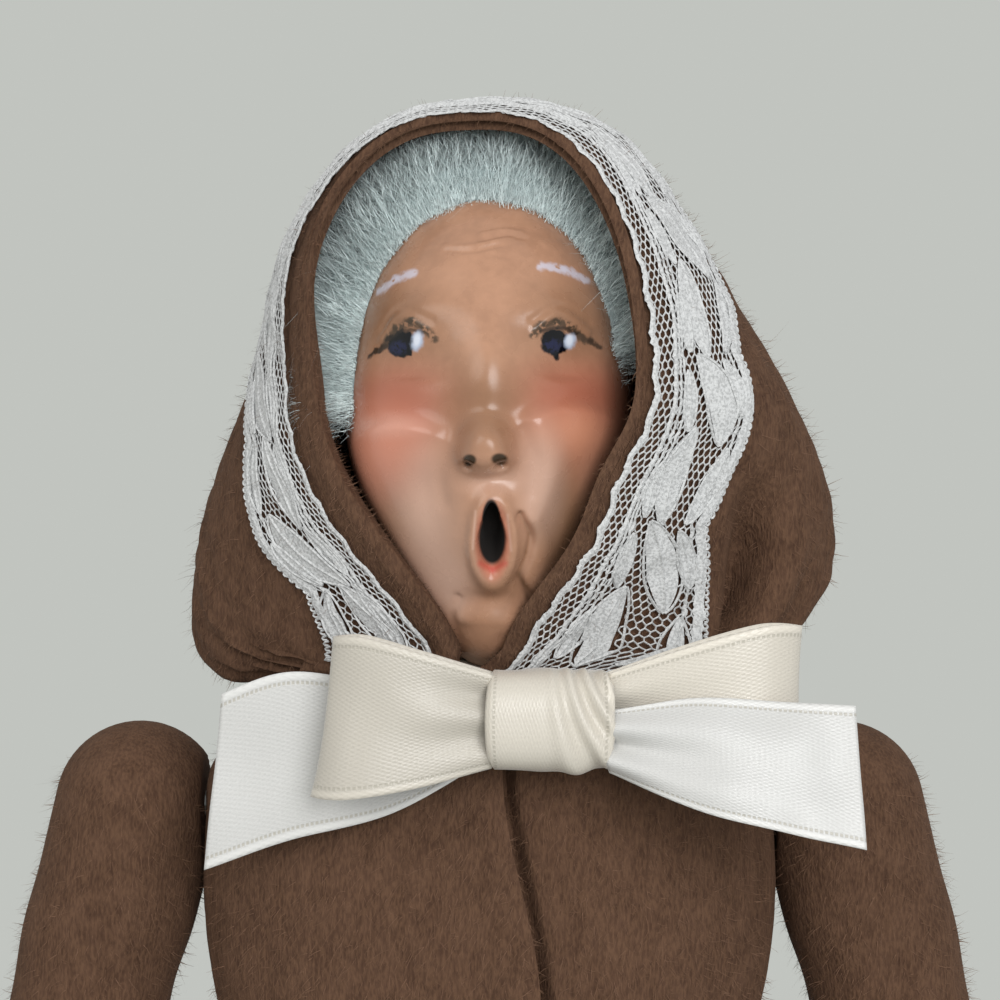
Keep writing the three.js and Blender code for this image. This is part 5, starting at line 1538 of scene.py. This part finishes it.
def stained_board(name):
    board = settings().lower.board
    material, tree, shader = new_material(name, Roughness=0.45, Specular_IOR_Level=0.45)
    place = object_place(tree)
    mottle = use_group(tree, "mottling", build_mottle, {"Place": place, "Fineness": 400.0})
    grain = noise(tree, place, 260.0, 5.0, (0.08, 1.0, 1.0))
    shade = blend_colours(tree, between(tree, grain, 0.35, 0.65), tinted(board, 0.5), board)
    shade = blend_colours(tree, times(tree, mottle["Patches"], 0.3), shade, tinted(board, 1.5))
    rough = between(tree, grain, 0.3, 0.7, 0.52, 0.38)
    feed(tree, shader, Base_Color=shade, Roughness=rough, Normal=bump(tree, grain, 0.25, 0.2))
    return material


def drawn_wire(name):
    material, tree, shader = new_material(name, Metallic=1.0)
    lines = noise(tree, object_place(tree), 900.0, 2.0, (1.0, 1.0, 0.1))
    shade = blend_colours(tree, lines, (0.25, 0.25, 0.24), (0.45, 0.45, 0.44))
    feed(tree, shader, Base_Color=shade, Roughness=between(tree, lines, 0.2, 0.8, 0.28, 0.46))
    return material


def finish_solid(node, material):
    """Gives a solid its material."""
    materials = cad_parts[node].data.materials
    materials.clear()
    materials.append(material)


class CAROLER_OT_base(bpy.types.Operator):
    """Finishes the base board, its pad and the boots."""
    bl_idname = "caroler.base"
    bl_label = "Base and boots"

    def execute(self, context):
        pad = napped("pad felt", (0.045, 0.07, 0.042), (0.02, 0.03, 0.018), (0.08, 0.12, 0.075), 1800.0, 0.3)
        finish_solid("base_board", stained_board("stained board"))
        finish_solid("base_felt", pad)
        leather = painted_boot("painted boot")

        def above_sole(x, y, z):
            return 0.18 - 0.22 * hump(z, 0.35, 9.2)

        for side in SIDES:
            soft_copy(f"{side}_boot", "leather", 0.5, 6, above_sole, leather, "figure")
        return {"FINISHED"}


class CAROLER_OT_inner(bpy.types.Operator):
    """Finishes the padding and wires inside the figure."""
    bl_idname = "caroler.inner"
    bl_label = "Inner parts"

    def execute(self, context):
        steel = drawn_wire("drawn wire")
        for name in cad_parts:
            if name.endswith("_wire"):
                finish_solid(name, steel)
        shade = settings().lower.padding
        wrap = napped("wound padding", shade, tinted(shade, 0.7), tinted(shade, 1.15), 900.0, 0.3)
        inside = {name: "figure" for name in ("body_padding", "neck_wrap", "left_leg_wrap", "right_leg_wrap")}
        for side in SIDES:
            for limb in ("upper_arm", "forearm"):
                inside[f"{side}_{limb}_padding"] = f"{side}_{limb}"

        def windings(x, y, z):
            return -0.22 + 0.16 * np.cos(2 * math.pi * z / 5.5 + np.arctan2(y, x))

        for name, body in inside.items():
            voxel = 1.3 if name == "body_padding" else 0.7
            wound = soft_copy(name, "wound", voxel, 3, windings, wrap, body)
        return {"FINISHED"}


# Stage

CAMERA_PLACE = (0.0012, -0.280, 0.2872)
LAMP_TARGET = (0.0, -0.01, 0.27)
FLOOR_RADII = (600, 300, 20)


def aim(obj, target):
    """Turns a lamp to face a place."""
    x, y, z = (target[k] - obj.location[k] for k in range(3))
    obj.rotation_euler = (math.atan2(math.hypot(x, y), -z), 0, math.atan2(-x, y))


class CAROLER_OT_stage(bpy.types.Operator):
    """Sets up the floor, lamps, background and camera."""
    bl_idname = "caroler.stage"
    bl_label = "Stage"

    def execute(self, context):
        stage = settings().stage
        scene = context.scene
        scene.view_settings.view_transform = "Standard"
        material, tree, shader = new_material("pale floor", Roughness=0.9, Specular_IOR_Level=0.1)
        patches = noise(tree, object_place(tree), 6.0, 2.0)
        shade = blend_colours(tree, patches, stage.backdrop, tinted(stage.backdrop, 1.06))
        feed(tree, shader, Base_Color=shade)
        turn = np.linspace(0, 2 * math.pi, 96, endpoint=False)
        rim = stacked(np.sin(turn), np.cos(turn), 0.0)
        points = np.array([radius * rim for radius in FLOOR_RADII]) - [0, 0, 0.2]
        floor = add_piece("floor", points, grid_faces(*points.shape[:2], round_columns=True), material, None)

        world = bpy.data.worlds.new("studio")
        scene.world = world
        world.use_nodes = True
        tree = world.node_tree
        tree.nodes.clear()
        path = add_node(tree, "ShaderNodeLightPath").outputs
        seen = compute(tree, "MAXIMUM", path["Is Camera Ray"],
                       compute(tree, "MAXIMUM", path["Is Glossy Ray"], path["Is Transmission Ray"]))
        white = (1.0, 1.0, 1.0, 1.0)
        lit = add_node(tree, "ShaderNodeBackground", {"Color": white, "Strength": stage.ambient})
        shown = add_node(tree, "ShaderNodeBackground", {"Color": rgba(stage.backdrop), "Strength": 1.0})
        both = add_node(tree, "ShaderNodeMixShader", {0: seen, 1: lit.outputs[0], 2: shown.outputs[0]})
        add_node(tree, "ShaderNodeOutputWorld", {0: both.outputs[0]})

        for label, place, size, energy, tint in (
                ("key lamp", (0.22, -0.70, 0.46), 0.50, stage.key, (0.99, 0.99, 1.0)),
                ("fill lamp", (-0.50, -0.57, 0.70), 0.65, stage.fill, (1.0, 0.98, 0.95))):
            data = bpy.data.lights.new(label, "AREA")
            data.shape = "DISK"
            data.size = size
            data.energy = energy
            data.color = tint
            lamp = add_object(label, data)
            lamp.location = place
            aim(lamp, LAMP_TARGET)

        data = bpy.data.cameras.new("camera")
        data.sensor_width = 36
        data.angle = stage.view_angle
        data.clip_start = 0.01
        camera = add_object("camera", data)
        camera.location = CAMERA_PLACE
        camera.rotation_euler = (math.pi / 2, 0, 0)
        scene.camera = camera
        return {"FINISHED"}


class CAROLER_PT_pieces(bpy.types.Panel):
    """Lists the figure's settings and the steps that build it."""
    bl_label = "Caroler"
    bl_space_type = "VIEW_3D"
    bl_region_type = "UI"
    bl_category = "Caroler"

    def draw(self, context):
        layout = self.layout
        for operator in STEPS:
            layout.operator(operator.bl_idname)
        for group in ("felt", "face", "hair", "trim", "lower", "stage"):
            box = layout.box()
            values = getattr(context.scene.caroler, group)
            for label in values.__annotations__:
                box.prop(values, label)


GROUPS = (CarolerFelt, CarolerFace, CarolerHair, CarolerTrim, CarolerLower, CarolerStage, CarolerSettings)
STEPS = (CAROLER_OT_stage, CAROLER_OT_inner, CAROLER_OT_base, CAROLER_OT_skirt, CAROLER_OT_coat,
         CAROLER_OT_sleeves, CAROLER_OT_mittens, CAROLER_OT_face, CAROLER_OT_hair, CAROLER_OT_hood,
         CAROLER_OT_lace, CAROLER_OT_bow)


def register():
    for group in GROUPS:
        bpy.utils.register_class(group)
    bpy.types.Scene.caroler = PointerProperty(type=CarolerSettings)
    for step in STEPS:
        bpy.utils.register_class(step)
    bpy.utils.register_class(CAROLER_PT_pieces)


def unregister():
    bpy.utils.unregister_class(CAROLER_PT_pieces)
    for step in reversed(STEPS):
        bpy.utils.unregister_class(step)
    del bpy.types.Scene.caroler
    for group in reversed(GROUPS):
        bpy.utils.unregister_class(group)


def main():
    register()
    bpy.ops.caroler.stage()
    bpy.ops.caroler.inner()
    bpy.ops.caroler.base()
    bpy.ops.caroler.skirt()
    bpy.ops.caroler.coat()
    bpy.ops.caroler.sleeves()
    bpy.ops.caroler.mittens()
    bpy.ops.caroler.face()
    bpy.ops.caroler.hair()
    bpy.ops.caroler.hood()
    bpy.ops.caroler.lace()
    bpy.ops.caroler.bow()


if __name__ == "__main__":
    main()
